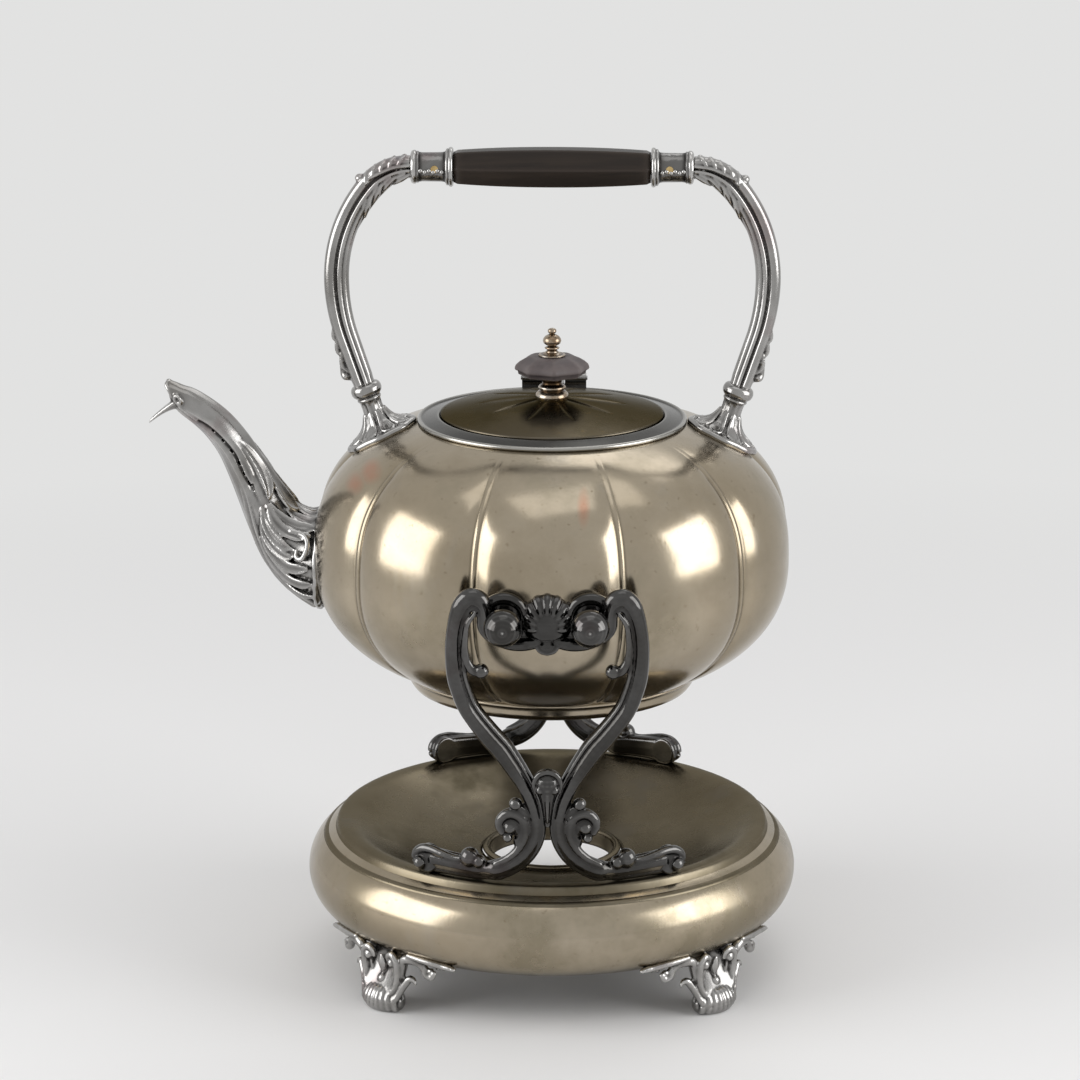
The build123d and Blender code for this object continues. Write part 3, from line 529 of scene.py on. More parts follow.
def bake_modifiers(obj):
    """Turns an object's modifiers into plain mesh, and takes the modifiers off."""
    made = bpy.data.meshes.new_from_object(obj.evaluated_get(bpy.context.evaluated_depsgraph_get()))
    obj.modifiers.clear()
    old = obj.data
    obj.data = made
    made.name = obj.name
    bpy.data.meshes.remove(old)


def point_outwards(mesh, merge):
    """Joins points that lie within `merge` of each other and turns every face outwards."""
    work = bmesh.new()
    work.from_mesh(mesh)
    bmesh.ops.remove_doubles(work, verts=work.verts, dist=merge / 1000)
    bmesh.ops.recalc_face_normals(work, faces=work.faces)
    work.to_mesh(mesh)
    work.free()


def fuse(obj, voxel, soften):
    """Fuses the parts of a casting into one skin of even mesh, and polishes it."""
    remesh = obj.modifiers.new("cast", "REMESH")
    remesh.mode = "VOXEL"
    remesh.voxel_size = voxel / 1000
    smooth = obj.modifiers.new("polish", "SMOOTH")
    smooth.iterations = soften
    bake_modifiers(obj)


def mark_relief(mesh, rounds, depth):
    """Stores how far each point lies under or over its smoothed surroundings, as recess and edge."""
    count = len(mesh.vertices)
    place = np.empty(count * 3)
    mesh.vertices.foreach_get("co", place)
    place = place.reshape(-1, 3) * 1000
    ends = np.empty(len(mesh.edges) * 2, int)
    mesh.edges.foreach_get("vertices", ends)
    ends = ends.reshape(-1, 2)
    one, two = np.concatenate([ends[:, 0], ends[:, 1]]), np.concatenate([ends[:, 1], ends[:, 0]])
    valence = np.maximum(np.bincount(one, minlength=count), 1)
    soft = place.copy()
    for _ in range(rounds):
        around = np.stack([np.bincount(one, soft[two, k], minlength=count) for k in range(3)], axis=1)
        soft = 0.4 * soft + 0.6 * around / valence[:, None]
    normals = np.empty(count * 3)
    mesh.vertices.foreach_get("normal", normals)
    lift = np.einsum("ij,ij->i", soft - place, normals.reshape(-1, 3)) / depth
    for name, values in (("recess", np.clip(lift, 0, 1)), ("edge", np.clip(-lift * 0.8 - 0.1, 0, 1))):
        layer = mesh.attributes.new(name, "FLOAT", "POINT")
        layer.data.foreach_set("value", values.astype(np.float32))


def piece(name, form, finish, body, nodes, voxel=0, soften=0, relief=(12, 0.35)):
    """Makes one finished piece of the object from a form; with a voxel size, it is fused into one skin."""
    mesh = bpy.data.meshes.new(name)
    mesh.from_pydata(metres(form.points), [], form.faces)
    mesh.validate()
    obj = linked(name, mesh)
    point_outwards(mesh, merge=0.001)
    if voxel:
        fuse(obj, voxel, soften)
    dress(obj, finish, body, nodes, relief)


def dress(obj, finish, body, nodes, relief):
    mesh = obj.data
    if relief:
        mark_relief(mesh, *relief)
    smooth_shaded(mesh)
    mesh.materials.clear()
    mesh.materials.append(finish)
    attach(obj, body)
    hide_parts(*nodes)


def smooth_shaded(mesh):
    mesh.polygons.foreach_set("use_smooth", [True] * len(mesh.polygons))


# ---------------------------------------------------------------- stage, lamps and camera
BACKDROP = (0.76, 0.76, 0.755)
WORLD_LIGHT = (0.47, 0.47, 0.475)
FLOOR_HALF = 9
# The floor's spot, 1 under the kettle and 0 a metre off, turns into the backdrop below START, over SPAN.
BACKDROP_START, BACKDROP_SPAN = 0.62, 0.5
# Lamps as (name, place, (width, height), watts).
LAMPS = (
    ("lamp_left", (-1.25, -0.40, 0.58), (1.10, 1.06), 13.4),
    ("lamp_right", (1.31, -0.38, 0.56), (1.00, 1.00), 12.4),
    ("lamp_top", (0.1, -0.15, 2.0), (1.3, 0.9), 2.6),
    ("lamp_back", (0.5, 1.3, 1.8), (1.0, 0.7), 3.0),
)
LAMP_TARGET = (AXIS_M, 0, 0.17)
LENS, SENSOR_WIDTH = 133.0, 36.0
CAMERA_TARGET = ((AXIS_X - 5.0) / 1000, 0, 0.1824)
CAMERA_AROUND, CAMERA_DOWN, CAMERA_AWAY = radians(1.2), radians(15.0), 1.674


def seen_rays(tree):
    """1 for what the camera sees itself or in metal and glass, 0 for light from surface to surface."""
    rays = tree.nodes.new("ShaderNodeLightPath")
    seen = Val(tree, rays.outputs["Is Camera Ray"]) + Val(tree, rays.outputs["Is Glossy Ray"])
    return (seen + Val(tree, rays.outputs["Is Transmission Ray"])).unit()


def stage_floor():
    mesh = bpy.data.meshes.new("floor")
    corners = [(x * FLOOR_HALF, y * FLOOR_HALF, 0) for x, y in ((-1, -1), (1, -1), (1, 1), (-1, 1))]
    mesh.from_pydata(corners, [], [(0, 1, 2, 3)])
    floor = linked("floor", mesh)
    f = Finish("pale_floor", Base_Color=(0.86, 0.855, 0.85), Roughness=0.55, Specular_IOR_Level=0.3)
    f.set(Normal=f.bump(f.noise(60, 3), 0.02, 0.001))
    # away from the object the floor turns into an even backdrop
    far = ((BACKDROP_START - f.spot((0, 0, 0), (1000, 1000, 1000))) / BACKDROP_SPAN).unit()
    glow = node(f.tree, "ShaderNodeEmission", {}, (*BACKDROP, 1.0), 1.0)
    lit = Val(f.tree, f.shader.outputs[0])
    both = node(f.tree, "ShaderNodeMixShader", {}, far * seen_rays(f.tree), lit, glow)
    f.tree.links.new(both.socket, f.tree.nodes["Material Output"].inputs["Surface"])
    mesh.materials.append(f.material)


def turned_to(place, target):
    return (Vector(target) - Vector(place)).to_track_quat("-Z", "Y").to_euler()


def soft_lamp(name, place, size, watts):
    lamp = bpy.data.lights.new(name, "AREA")
    lamp.shape = "RECTANGLE"
    lamp.size, lamp.size_y = size
    lamp.energy = watts
    obj = linked(name, lamp)
    obj.location = place
    obj.rotation_euler = turned_to(place, LAMP_TARGET)


def studio():
    stage_floor()
    for lamp in LAMPS:
        soft_lamp(*lamp)
    world = bpy.data.worlds.new("studio")
    bpy.context.scene.world = world
    world.use_nodes = True
    tree = world.node_tree
    tree.nodes.clear()
    tone = mix_colour(tree, seen_rays(tree), WORLD_LIGHT, BACKDROP)
    back = node(tree, "ShaderNodeBackground", {}, tone, 1.0)
    world_out = tree.nodes.new("ShaderNodeOutputWorld")
    tree.links.new(back.socket, world_out.inputs["Surface"])
    scene = bpy.context.scene
    scene.view_settings.view_transform = "Standard"
    camera = linked("camera", bpy.data.cameras.new("camera"))
    camera.data.lens = LENS
    camera.data.sensor_width = SENSOR_WIDTH
    level = cos(CAMERA_DOWN)
    way = Vector((sin(CAMERA_AROUND) * level, -cos(CAMERA_AROUND) * level, sin(CAMERA_DOWN)))
    camera.location = Vector(CAMERA_TARGET) + CAMERA_AWAY * way
    camera.rotation_euler = turned_to(camera.location, CAMERA_TARGET)
    scene.camera = camera


# ---------------------------------------------------------------- lobed shells by rule
def shell_tree(name, finish, inputs, build):
    """A geometry tree with named sizes that ends in Realize Instances and Set Material."""
    tree = bpy.data.node_groups.new(name, "GeometryNodeTree")
    tree.interface.new_socket("Geometry", in_out="INPUT", socket_type="NodeSocketGeometry")
    tree.interface.new_socket("Geometry", in_out="OUTPUT", socket_type="NodeSocketGeometry")
    keys = {}
    for label, value in inputs.items():
        kind = "NodeSocketInt" if isinstance(value, int) else "NodeSocketFloat"
        socket = tree.interface.new_socket(label, in_out="INPUT", socket_type=kind)
        socket.default_value = value
        keys[label] = socket.identifier
    entry = tree.nodes.new("NodeGroupInput")
    given = {label: Val(tree, entry.outputs[label]) for label in inputs}
    shape = build(tree, Val(tree, entry.outputs["Geometry"]), given)
    whole = node(tree, "GeometryNodeRealizeInstances", {}, shape)
    coated = node(tree, "GeometryNodeSetMaterial", {}, whole, Material=finish)
    leave = tree.nodes.new("NodeGroupOutput")
    tree.links.new(coated.socket, leave.inputs["Geometry"])
    return tree, keys


def grow(name, tree_and_keys, inputs, mesh):
    """Runs a geometry tree on a mesh and keeps the result as a plain mesh object."""
    tree, keys = tree_and_keys
    obj = linked(name, mesh)
    modifier = obj.modifiers.new("rule", "NODES")
    modifier.node_group = tree
    for label, value in inputs.items():
        modifier[keys[label]] = value
    bake_modifiers(obj)
    return obj


def turned_mesh(name, form):
    mesh = bpy.data.meshes.new(name)
    mesh.from_pydata(metres(form.points), [], form.faces)
    point_outwards(mesh, merge=0.02)
    return mesh


def about_axis(tree):
    """Each point's x, y and z about the upright axis, its distance from it and its angle round it."""
    split = tree.nodes.new("ShaderNodeSeparateXYZ")
    tree.links.new(node(tree, "GeometryNodeInputPosition", {}).socket, split.inputs[0])
    x, y, z = (Val(tree, split.outputs[i]) for i in range(3))
    x = x - AXIS_M
    return x, y, z, (x * x + y * y) ** 0.5, node(tree, "ShaderNodeMath", {"operation": "ARCTAN2"}, y, x)


def moved_to(tree, geometry, x, y, z):
    """Sets the points of a geometry to a place about the upright axis."""
    made = tree.nodes.new("ShaderNodeCombineXYZ")
    for socket, value in zip(made.inputs, (x + AXIS_M, y, z)):
        tree.links.new(value.socket, socket)
    return node(tree, "GeometryNodeSetPosition", {}, geometry, Position=Val(tree, made.outputs[0]))


def lobe_wave(turn, lobes):
    """0 on the crest of a lobe and 1 in the crease beside it, from the angle round the axis."""
    return ((turn / (2 * pi) * lobes + 0.25 * lobes + 0.5).fract() - 0.5).abs() * 2.0


def crease_rule(tree, geometry, size):
    """Presses creases into a turned shell: each is a valley with a narrow raised band in it."""
    x, y, z, radius, turn = about_axis(tree)
    wave = lobe_wave(turn, size["Lobes"])
    away = (1.0 - wave) * radius * (pi / size["Lobes"])
    fade = ((size["Top"] - z) / size["Fade"]).unit()
    fade = fade * ((z - size["Bottom"]) / size["Fade"] + size["Foot share"]).unit()
    bulge = (1.0 - wave * wave) * size["Crest"] - wave * wave * size["Valley"]
    slump = 1.0 / (1.0 + (away / size["Valley width"]) ** 2.0)
    band = 1.0 / (1.0 + (away / size["Band width"]) ** 6.0)
    change = (bulge * radius * 10.0 - slump * size["Valley depth"] + band * size["Band height"]) * fade
    factor = 1.0 + change * (radius / size["Reach"]) ** 0.5 / radius.at_least(0.004)
    return moved_to(tree, geometry, x * factor, y * factor, z)


# The body's wall is a superellipse above its widest line and another below it.
BODY_R = 99.1
WALL = 1.4
RISE, FALL = 56.0, 49.0
UPPER_POWER, LOWER_POWER = 2.7, 2.2
SHOULDER = RISE / (1 - (55.2 / BODY_R) ** UPPER_POWER) ** (1 / UPPER_POWER)
BELLY = FALL / (1 - (63.5 / BODY_R) ** LOWER_POWER) ** (1 / LOWER_POWER)


def melon_line(inset, low, high, count):
    """Radius and height of the body's wall from the floor up to the mouth."""
    tall, deep = SHOULDER - inset, BELLY - inset
    a = -asin((-low / deep) ** (LOWER_POWER / 2))
    b = asin((high / tall) ** (UPPER_POWER / 2))
    line = []
    for i in range(count):
        t = a + (b - a) * i / (count - 1)
        power, span = (LOWER_POWER, -deep) if t < 0 else (UPPER_POWER, tall)
        line.append(((BODY_R - inset) * cos(t) ** (2 / power), STUD_Z + span * abs(sin(t)) ** (2 / power)))
    return line


def kettle_body():
    outer = melon_line(0, -FALL, RISE, 120)
    inner = melon_line(WALL, WALL - FALL, RISE - WALL, 60)
    line = [(0.01, FLOOR_Z)] + [(r, FLOOR_Z) for r in (20, 40, 55)] + outer
    line += [(50, MOUTH_Z), (45.2, MOUTH_Z), (45.2, MOUTH_Z - WALL), (50, MOUTH_Z - WALL)]
    line += inner[::-1] + [(r, FLOOR_Z + WALL) for r in (55, 40, 20, 0.01)]
    mesh = turned_mesh("kettle_body_turned", Form().lathe(line, steps=380, step=1.8, gather=(10, 0.72)))
    inputs = {
        "Lobes": 10, "Reach": BODY_R / 1000, "Top": MOUTH_Z / 1000, "Bottom": FLOOR_Z / 1000,
        "Fade": 0.013, "Foot share": 0.75, "Crest": 0.0016, "Valley": 0.0012,
        "Valley width": 0.0029, "Valley depth": 0.0021, "Band width": 0.00085, "Band height": 0.0010,
    }
    tree = shell_tree("melon_rule", BODY_PLATE, inputs, crease_rule)
    obj = grow("kettle_melon", tree, inputs, mesh)
    dress(obj, BODY_PLATE, "kettle", ["kettle_body"], relief=(14, 0.55))


def foot_ring():
    line = [
        (61.4, 129.4), (62.6, 128.9), (62.9, 128.1), (62.2, 127.5), (61.4, 127.2), (60.9, 126.4),
        (60.0, 123.6), (59.3, 122.5), (58.7, 121.7), (57.4, 121.5), (56.9, 122.0), (57.3, 123.2),
        (59.2, 128.0), (59.4, 129.4),
    ]
    piece("foot_ring_turned", Form().lathe(line, 192), BODY_PLATE, "kettle",
          ["foot_ring"])


def base():
    roll = []
    for i in range(0, 91):
        turn = radians(112 - 202 * i / 90)
        roll.append((ROLL_R + ROLL_ROUND * cos(turn), ROLL_Z + ROLL_ROUND * sin(turn)))
    inner = [(ROLL_R + 17.3 * cos(radians(a)), ROLL_Z + 17.3 * sin(radians(a))) for a in range(-90, 113, 8)]
    piece(
        "base_rolled_edge", Form().lathe(roll + inner, 288, step=1.5), BASE_PLATE, "stand",
        ["base_roll"], relief=(10, 0.6),
    )
    dish = [
        (97.6, 54.2), (96.6, 55.5), (95.2, 56.2), (93.6, 56.4), (92.6, 56.9), (92.1, 57.9), (91.6, 59.8),
        (91.0, 60.9), (90.0, 61.2),
    ]
    dish += [tuple(p) for p in spline([
        (88.4, 61.2), (86.4, 61.15), (84.4, 60.75), (82.4, 60.0), (79.6, 58.75), (74.0, 56.4), (64.0, 53.1),
        (54.0, 50.3), (44.0, 48.0), (36.0, 46.7), (31.0, 46.15),
    ], 70)]
    dish += [
        (29.7, 46.0), (29.6, 45.0), (36.0, 45.4), (54.0, 48.8), (74.0, 54.8), (82.5, 58.0), (88.0, 58.8),
        (90.6, 57.0), (92.0, 55.2), (94.0, 54.6), (96.4, 53.4),
    ]
    piece(
        "base_dish_turned", Form().lathe(dish, 288, step=1.0), DISH_PLATE, "stand",
        ["base_dish"], relief=(10, 0.6),
    )
    collar = [
        (26.3, 47.0), (26.8, 47.6), (28.2, 47.9), (29.3, 47.5), (29.6, 46.8), (29.2, 46.1), (27.7, 45.4),
        (27.7, 40.4), (27.0, 40.0), (26.3, 40.2),
    ]
    piece("burner_collar_turned", Form().lathe(collar, 128), DISH_PLATE, "stand",
          ["burner_collar"])


# The lid's dome rises from its edge, and the knob stands on its middle.
LID_R, LID_EDGE_Z, LID_RISE = 46.3, 236.45 + 1.05, 6.6
KNOB_BASE_Z = 236.3 + 1.2 + 7.5


def collar_and_lid():
    ring = [
        (45.2, 228.2), (45.0, 228.0), (43.9, 228.2), (43.8, 235.0), (44.0, 236.1), (46.7, 236.3),
        (46.95, 236.75), (47.4, 236.9), (49.5, 236.45), (52.4, 235.75), (54.2, 235.3), (54.7, 235.75),
        (55.5, 235.85), (56.1, 235.3), (56.2, 234.5), (55.6, 233.95), (54.6, 233.9), (50.0, 234.0),
        (45.3, 234.0),
    ]
    piece("lid_collar_turned", Form().lathe(ring, 224), COLLAR, "kettle",
          ["lid_collar"], relief=(5, 0.25))

    rise = []
    for i in range(60):
        r = LID_R * (1 - i / 59)
        drop = (r / LID_R) ** 2
        rise.append((max(r, 0.01), LID_EDGE_Z + LID_RISE * (1 - drop ** 0.94)))
    under = [
        (0.01, 242.8), (15, 241.9), (30, 239.6), (40.8, 237.2), (41.0, 236.3), (45.9, 236.32), (LID_R, 236.6)
    ]
    mesh = turned_mesh("lid_turned", Form().lathe(rise + under, 320, step=1.0))
    inputs = {
        "Creases": 10, "Reach": 0.0315, "Inner": 0.0070, "Depth": 0.00085, "Width": 0.00080, "Dish": 0.0003,
        "Base": 0.2372,
    }
    tree = shell_tree("lid_rule", LID_PLATE, inputs, lid_rule)
    obj = grow("lid_creased", tree, inputs, mesh)
    dress(obj, LID_PLATE, "lid", ["lid_dome"], relief=(10, 0.4))


def lid_rule(tree, geometry, size):
    """Presses thin creases into the lid, from the knob outwards, each fading at its end."""
    x, y, z, radius, turn = about_axis(tree)
    wave = lobe_wave(turn, size["Creases"])
    away = (1.0 - wave) * radius * (pi / size["Creases"])
    share = ((size["Reach"] - radius) / (size["Reach"] - size["Inner"])).unit()
    line = 1.0 / (1.0 + (away / (size["Width"] * (0.45 + share))) ** 2.0)
    puff = (1.0 - wave * wave) * size["Dish"] * share
    above = 1.0 - z.below(size["Base"])
    strength = (share * 3.0).unit() * (1.15 - share)
    lowered = z + (puff - line * size["Depth"] * strength) * above
    return moved_to(tree, geometry, x, y, lowered)


def knob_and_finial():
    base_z = KNOB_BASE_Z
    collar = [(r, base_z + h) for r, h in (
        (0.01, -1.9), (6.3, -1.9), (6.9, -0.6), (6.7, 0.5), (5.9, 1.5), (5.0, 1.8), (4.9, 2.3), (5.5, 2.7),
        (5.75, 3.3), (5.3, 4.0), (4.5, 4.3), (4.1, 5.0), (4.1, 6.1), (4.7, 6.8), (4.8, 7.6), (4.2, 8.2),
        (4.2, 8.7), (0.01, 8.7),
    )]
    piece("knob_stem", Form().lathe(collar, 96), GILT, "lid", ["knob_collar"],
          relief=(4, 0.25))
    knob_z = base_z + 7.0
    levels = [
        (1.6, 6.0), (1.62, 13.2), (2.0, 14.0), (3.5, 14.3), (3.7, 15.2), (4.3, 15.55), (5.3, 15.35),
        (6.1, 14.9), (7.4, 13.4), (8.5, 11.5), (9.15, 9.9), (9.42, 9.0), (9.45, 4.0),
    ]
    start = radians(4.5)
    rows = []
    for height, radius in levels:
        row = []
        for i in range(96):
            turn = 2 * pi * i / 96 + start
            local = (turn - start) % (pi / 4) - pi / 8
            facet = cos(pi / 8) / cos(local)
            hollow = 1 - 0.022 * cos(local * 4) ** 2
            r = radius * facet * hollow
            row.append((r * cos(turn), r * sin(turn), knob_z + height))
        rows.append(row)
    piece("knob_block", Form().skin(rows), KNOB_WOOD, "lid", ["knob"], relief=(4, 0.22))
    washer_z = knob_z + 9.5
    washer = [(r, washer_z + h) for r, h in (
        (0.01, 0.0), (5.2, 0.0), (5.7, 0.35), (5.4, 0.75), (4.9, 0.8), (4.4, 0.6), (3.9, 0.8), (3.2, 1.5),
        (0.01, 1.5),
    )]
    piece("knob_washer_turned", Form().lathe(washer, 72), GILT, "lid",
          ["knob_washer"], relief=(3, 0.2))
    f = washer_z + 1.5
    spindle = [(r, f + h) for r, h in (
        (0.01, 0.0), (2.6, 0.0), (2.7, 0.3), (2.1, 0.8), (2.0, 1.2), (2.9, 1.6), (3.1, 2.0), (2.4, 2.4),
        (1.6, 2.7), (1.55, 3.0), (2.6, 3.2), (3.5, 3.9), (3.85, 4.9), (3.6, 5.9), (2.9, 6.8), (1.9, 7.4),
        (1.2, 7.6), (1.1, 7.9), (1.6, 8.3), (1.85, 8.9), (1.7, 9.6), (1.0, 10.1), (0.01, 10.25),
    )]
    form = Form().lathe(spindle, 64)
    shank = [(0.01, 240.6), (1.55, 240.7), (1.6, 241.0), (1.6, f), (0.01, f)]
    form.plus(Form().lathe(shank, 32))
    piece("finial_turned", form, GILT, "lid", ["finial"], relief=(4, 0.25))


# ---------------------------------------------------------------- stand arms
ARM_LEAN, ARM_RISE = 20.0, 116.8
ARM_FOOT_Y = 86.5
TOE_R = 87.75
LEAN = atan2(ARM_LEAN, ARM_RISE)
# Middle of the strand as (x, height, width) up to the heel, for the front right arm.
ARM_LINE = [
    (10.6, 174.9, 3.6), (12.85, 171.9, 5.8), (17.15, 170.4, 6.9), (21.45, 171.9, 7.0), (24.2, 175.4, 6.9),
    (24.7, 179.5, 6.5), (25.2, 183.3, 6.8), (26.8, 185.9, 8.6), (29.6, 186.9, 9.4), (32.6, 184.9, 8.8),
    (34.6, 180.5, 7.9), (36.0, 174.5, 7.4), (36.6, 168.0, 7.7), (36.4, 160.0, 8.2), (35.6, 153.0, 8.6),
    (34.0, 147.0, 8.7), (31.5, 140.3, 8.8), (28.4, 135.2, 9.0), (25.2, 130.7, 9.3), (22.0, 126.4, 9.7),
    (18.6, 122.2, 9.7), (15.2, 117.0, 9.2), (12.2, 112.0, 8.7), (9.6, 107.5, 8.1), (7.3, 102.5, 7.7),
    (5.6, 98.0, 7.4), (4.6, 93.5, 7.0), (4.0, 89.0, 6.8), (4.1, 85.0, 6.9), (5.0, 81.0, 7.1),
    (7.2, 76.8, 7.8), (11.0, 72.3, 8.4), (16.0, 68.9, 8.8), (21.5, 66.9, 9.0),
]
# Foot of the arm along the rim as (degrees from the front, height, width).
ARM_TOE = [(18.0, 65.9, 9.1), (21.5, 66.2, 9.5), (25.0, 66.4, 9.8), (29.0, 66.6, 10.2), (32.5, 66.6, 11.0)]


def on_arm(x, z, out=0.0):
    """A place on the leaning plane of the front arms, out of it by a distance to the front."""
    y = -(ARM_FOOT_Y + (z - RIM_Z) * ARM_LEAN / ARM_RISE)
    return np.array((x, y - out * cos(LEAN), z - out * sin(LEAN)))


def on_rim(angle, z, out=0.0):
    """A place over the base's rim, by its angle from the front."""
    turn = radians(angle)
    return np.array(((TOE_R + out) * sin(turn), -(TOE_R + out) * cos(turn), z))


STRAND_DEPTH = 6.0


def strand(form, places, normals, widths, reeds):
    """A cast strand: a broad crowned band with a groove and a reed along one of its edges."""
    tangents = np.gradient(places, axis=0)
    rows = []
    for place, tangent, normal, w, reed in zip(places, tangents, normals, widths, reeds):
        tangent = tangent / np.linalg.norm(tangent)
        normal = normal / np.linalg.norm(normal)
        across = np.cross(tangent, normal)
        side = 1.0 if reed > 0 else -1.0
        cut = abs(reed)
        h = STRAND_DEPTH / 2
        section = [
            (-0.500, -0.25), (-0.485, 0.15), (-0.43, 0.55), (-0.33, 0.86), (-0.20, 1.03), (-0.07, 1.06),
            (0.05, 0.98), (0.14, 0.84 - 0.02 * cut), (0.20, 0.76 - 0.20 * cut), (0.245, 0.70 - 0.22 * cut),
            (0.29, 0.66 - 0.02 * cut), (0.345, 0.62 + 0.16 * cut), (0.40, 0.56 + 0.20 * cut),
            (0.455, 0.38 + 0.12 * cut), (0.497, 0.10), (0.500, -0.30), (0.46, -0.70), (0.36, -0.93),
            (0.0, -1.0), (-0.36, -0.93), (-0.46, -0.70),
        ]
        row = [place + side * a * w * across + b * h * normal for a, b in section]
        rows.append(row if side > 0 else row[::-1])
    return form.skin(rows)


def arm_form():
    form = Form()
    up_part = [(*on_arm(x, z), w) for x, z, w in ARM_LINE]
    toe_part = [(*on_rim(a, z), w) for a, z, w in ARM_TOE]
    line = spline(up_part + toe_part, 330)
    places, widths = line[:, :3], line[:, 3]
    arm_normal = np.array((0, -cos(LEAN), -sin(LEAN)))
    normals, reeds = [], []
    for place in places:
        share = min(1, max(0, (place[0] - 14) / 14)) if place[2] < 76 else 0
        turn = atan2(place[0], -place[1])
        normals.append(arm_normal * (1 - share) + np.array((sin(turn), -cos(turn), 0)) * share)
    for i, place in enumerate(places):
        travelled = i / len(places)
        if travelled < 0.20:
            reeds.append(0.35 * travelled / 0.20)
        elif place[2] > 100:
            reeds.append(min(1, 0.35 + (travelled - 0.20) * 8))
        else:
            reeds.append(max(0.02, (place[2] - 88) / 12))
    strand(form, places, normals, widths, reeds)

    # bead inside the bend, on the end of a long reed
    form.run(on_arm, [
        (28.2, 182.0, 1.9, 0.8), (31.2, 177.5, 2.0, 1.1), (32.3, 171.0, 1.9, 1.3), (32.4, 165.0, 1.6, 1.5),
        (31.4, 160.2, 1.5, 1.9), (29.4, 157.2, 1.4, 2.2), (26.9, 156.4, 1.4, 2.4),
    ], sides=12)
    form.ball(on_arm(26.1, 156.7, 1.4), 3.1)
    # scroll on the outer side of the waist
    curl = [
        (21.0, 70.6, 1.5), (15.6, 73.6, 1.7), (11.6, 77.8, 1.9), (9.3, 83.0, 2.1), (9.2, 88.2, 2.3),
        (11.2, 92.3, 2.4), (14.9, 93.7, 2.3), (18.3, 91.8, 2.1), (19.6, 88.4, 1.9), (18.6, 85.3, 1.6),
    ]
    form.tube([(*on_arm(x, z, 1.4), r) for x, z, r in curl], sides=14)
    form.run(on_arm, [(11.0, 80.0, -0.6, 3.2), (9.2, 88.0, -0.6, 4.2), (12.0, 92.0, -0.6, 3.4)])
    form.run(on_arm, [(12, 86, -0.6, 3.4), (14.2, 88.4, -0.4, 3.9), (16.2, 89.2, -0.4, 3.4)])
    form.ball(on_arm(15.2, 87.5, 1.8), 2.7)
    form.ball(on_arm(16.2, 82.7, 1.4), 2.1)
    form.ball(on_arm(12.9, 97.6, 0.9), 2.7)
    form.run(on_arm, [(12.4, 97.0, 0.4, 1.9), (10.6, 94.6, 0.3, 2.6), (8.4, 92.4, 0.0, 2.6)])
    # bead on the foot, and the scroll at its end
    form.ball(on_rim(20.8, 71.3, 1.7), 4.1)
    form.ball(on_rim(18.1, 70.1, 2.2), 2.8)
    form.run(on_rim, [
        (21.6, 70.2, 1.6, 1.6), (25.0, 69.8, 1.8, 1.5), (29.0, 70.7, 1.8, 1.7), (32.8, 71.6, 1.6, 1.9),
        (35.6, 70.9, 1.5, 2.0), (37.4, 68.2, 1.4, 2.1), (37.5, 65.2, 1.4, 1.9), (36.2, 63.2, 1.4, 1.6),
    ], sides=14)
    rows = []
    for out, r in ((-3.0, 5.5), (-2.6, 6.0), (1.6, 6.0), (2.4, 5.6), (2.7, 4.3)):
        rows.append([
            on_rim(34.4 + degrees(r * cos(2 * pi * i / 28) / TOE_R), 66.6 + r * sin(2 * pi * i / 28), out)
            for i in range(28)
        ])
    form.skin(rows)
    form.ball(on_rim(35.5, 65.3, 2.8), 2.9)
    form.points = [(x, y, max(z, RIM_Z + 0.03)) for x, y, z in form.points]
    return form


def arms():
    front_right = arm_form()
    for name, x, y in (
        ("front_right", 1, 1), ("front_left", -1, 1), ("rear_right", 1, -1), ("rear_left", -1, -1),
    ):
        piece(
            f"cast_arm_{name}", front_right.mirrored(x, y), ARM_SILVER, "stand",
            [f"arm_{name}"], voxel=0.42, soften=2, relief=(22, 0.75),
        )
    clasp = Form()
    clasp.ball(on_arm(0, 108.8, 1.4), 5.4, (1.0, 0.62, 0.86), 28)
    arch = [
        (*on_arm(-4.7, 104.2, 3.3), 0.9), (*on_arm(-5.3, 108.2, 3.3), 1.1), (*on_arm(-3.6, 111.7, 3.3), 1.25),
        (*on_arm(0, 113.1, 3.2), 1.35), (*on_arm(3.6, 111.7, 3.3), 1.25), (*on_arm(5.3, 108.2, 3.3), 1.1),
        (*on_arm(4.7, 104.2, 3.3), 0.9),
    ]
    clasp.tube(arch, sides=12)
    for x, z, r in ((-2.9, 105.6, 1.7), (0, 106.2, 2.0), (2.9, 105.6, 1.7)):
        clasp.ball(on_arm(x, z, 4.3), r)
    clasp.run(on_arm, [
        (0, 108.0, 2.6, 4.6), (0, 104.0, 2.8, 3.7), (0, 99.0, 2.7, 2.6), (0, 93.5, 2.4, 1.7),
        (0, 88.4, 2.1, 1.0),
    ], sides=16, flat=0.8)
    clasp.run(on_arm, [(0, 104.0, 5.0, 1.1), (0, 97.0, 4.6, 0.8), (0, 91.0, 3.6, 0.45)])
    for name, y in (("front", 1), ("rear", -1)):
        piece(
            f"cast_clasp_{name}", clasp.mirrored(1, y), ARM_SILVER, "stand",
            [f"clasp_{name}"], voxel=0.3, soften=2, relief=(16, 0.45),
        )


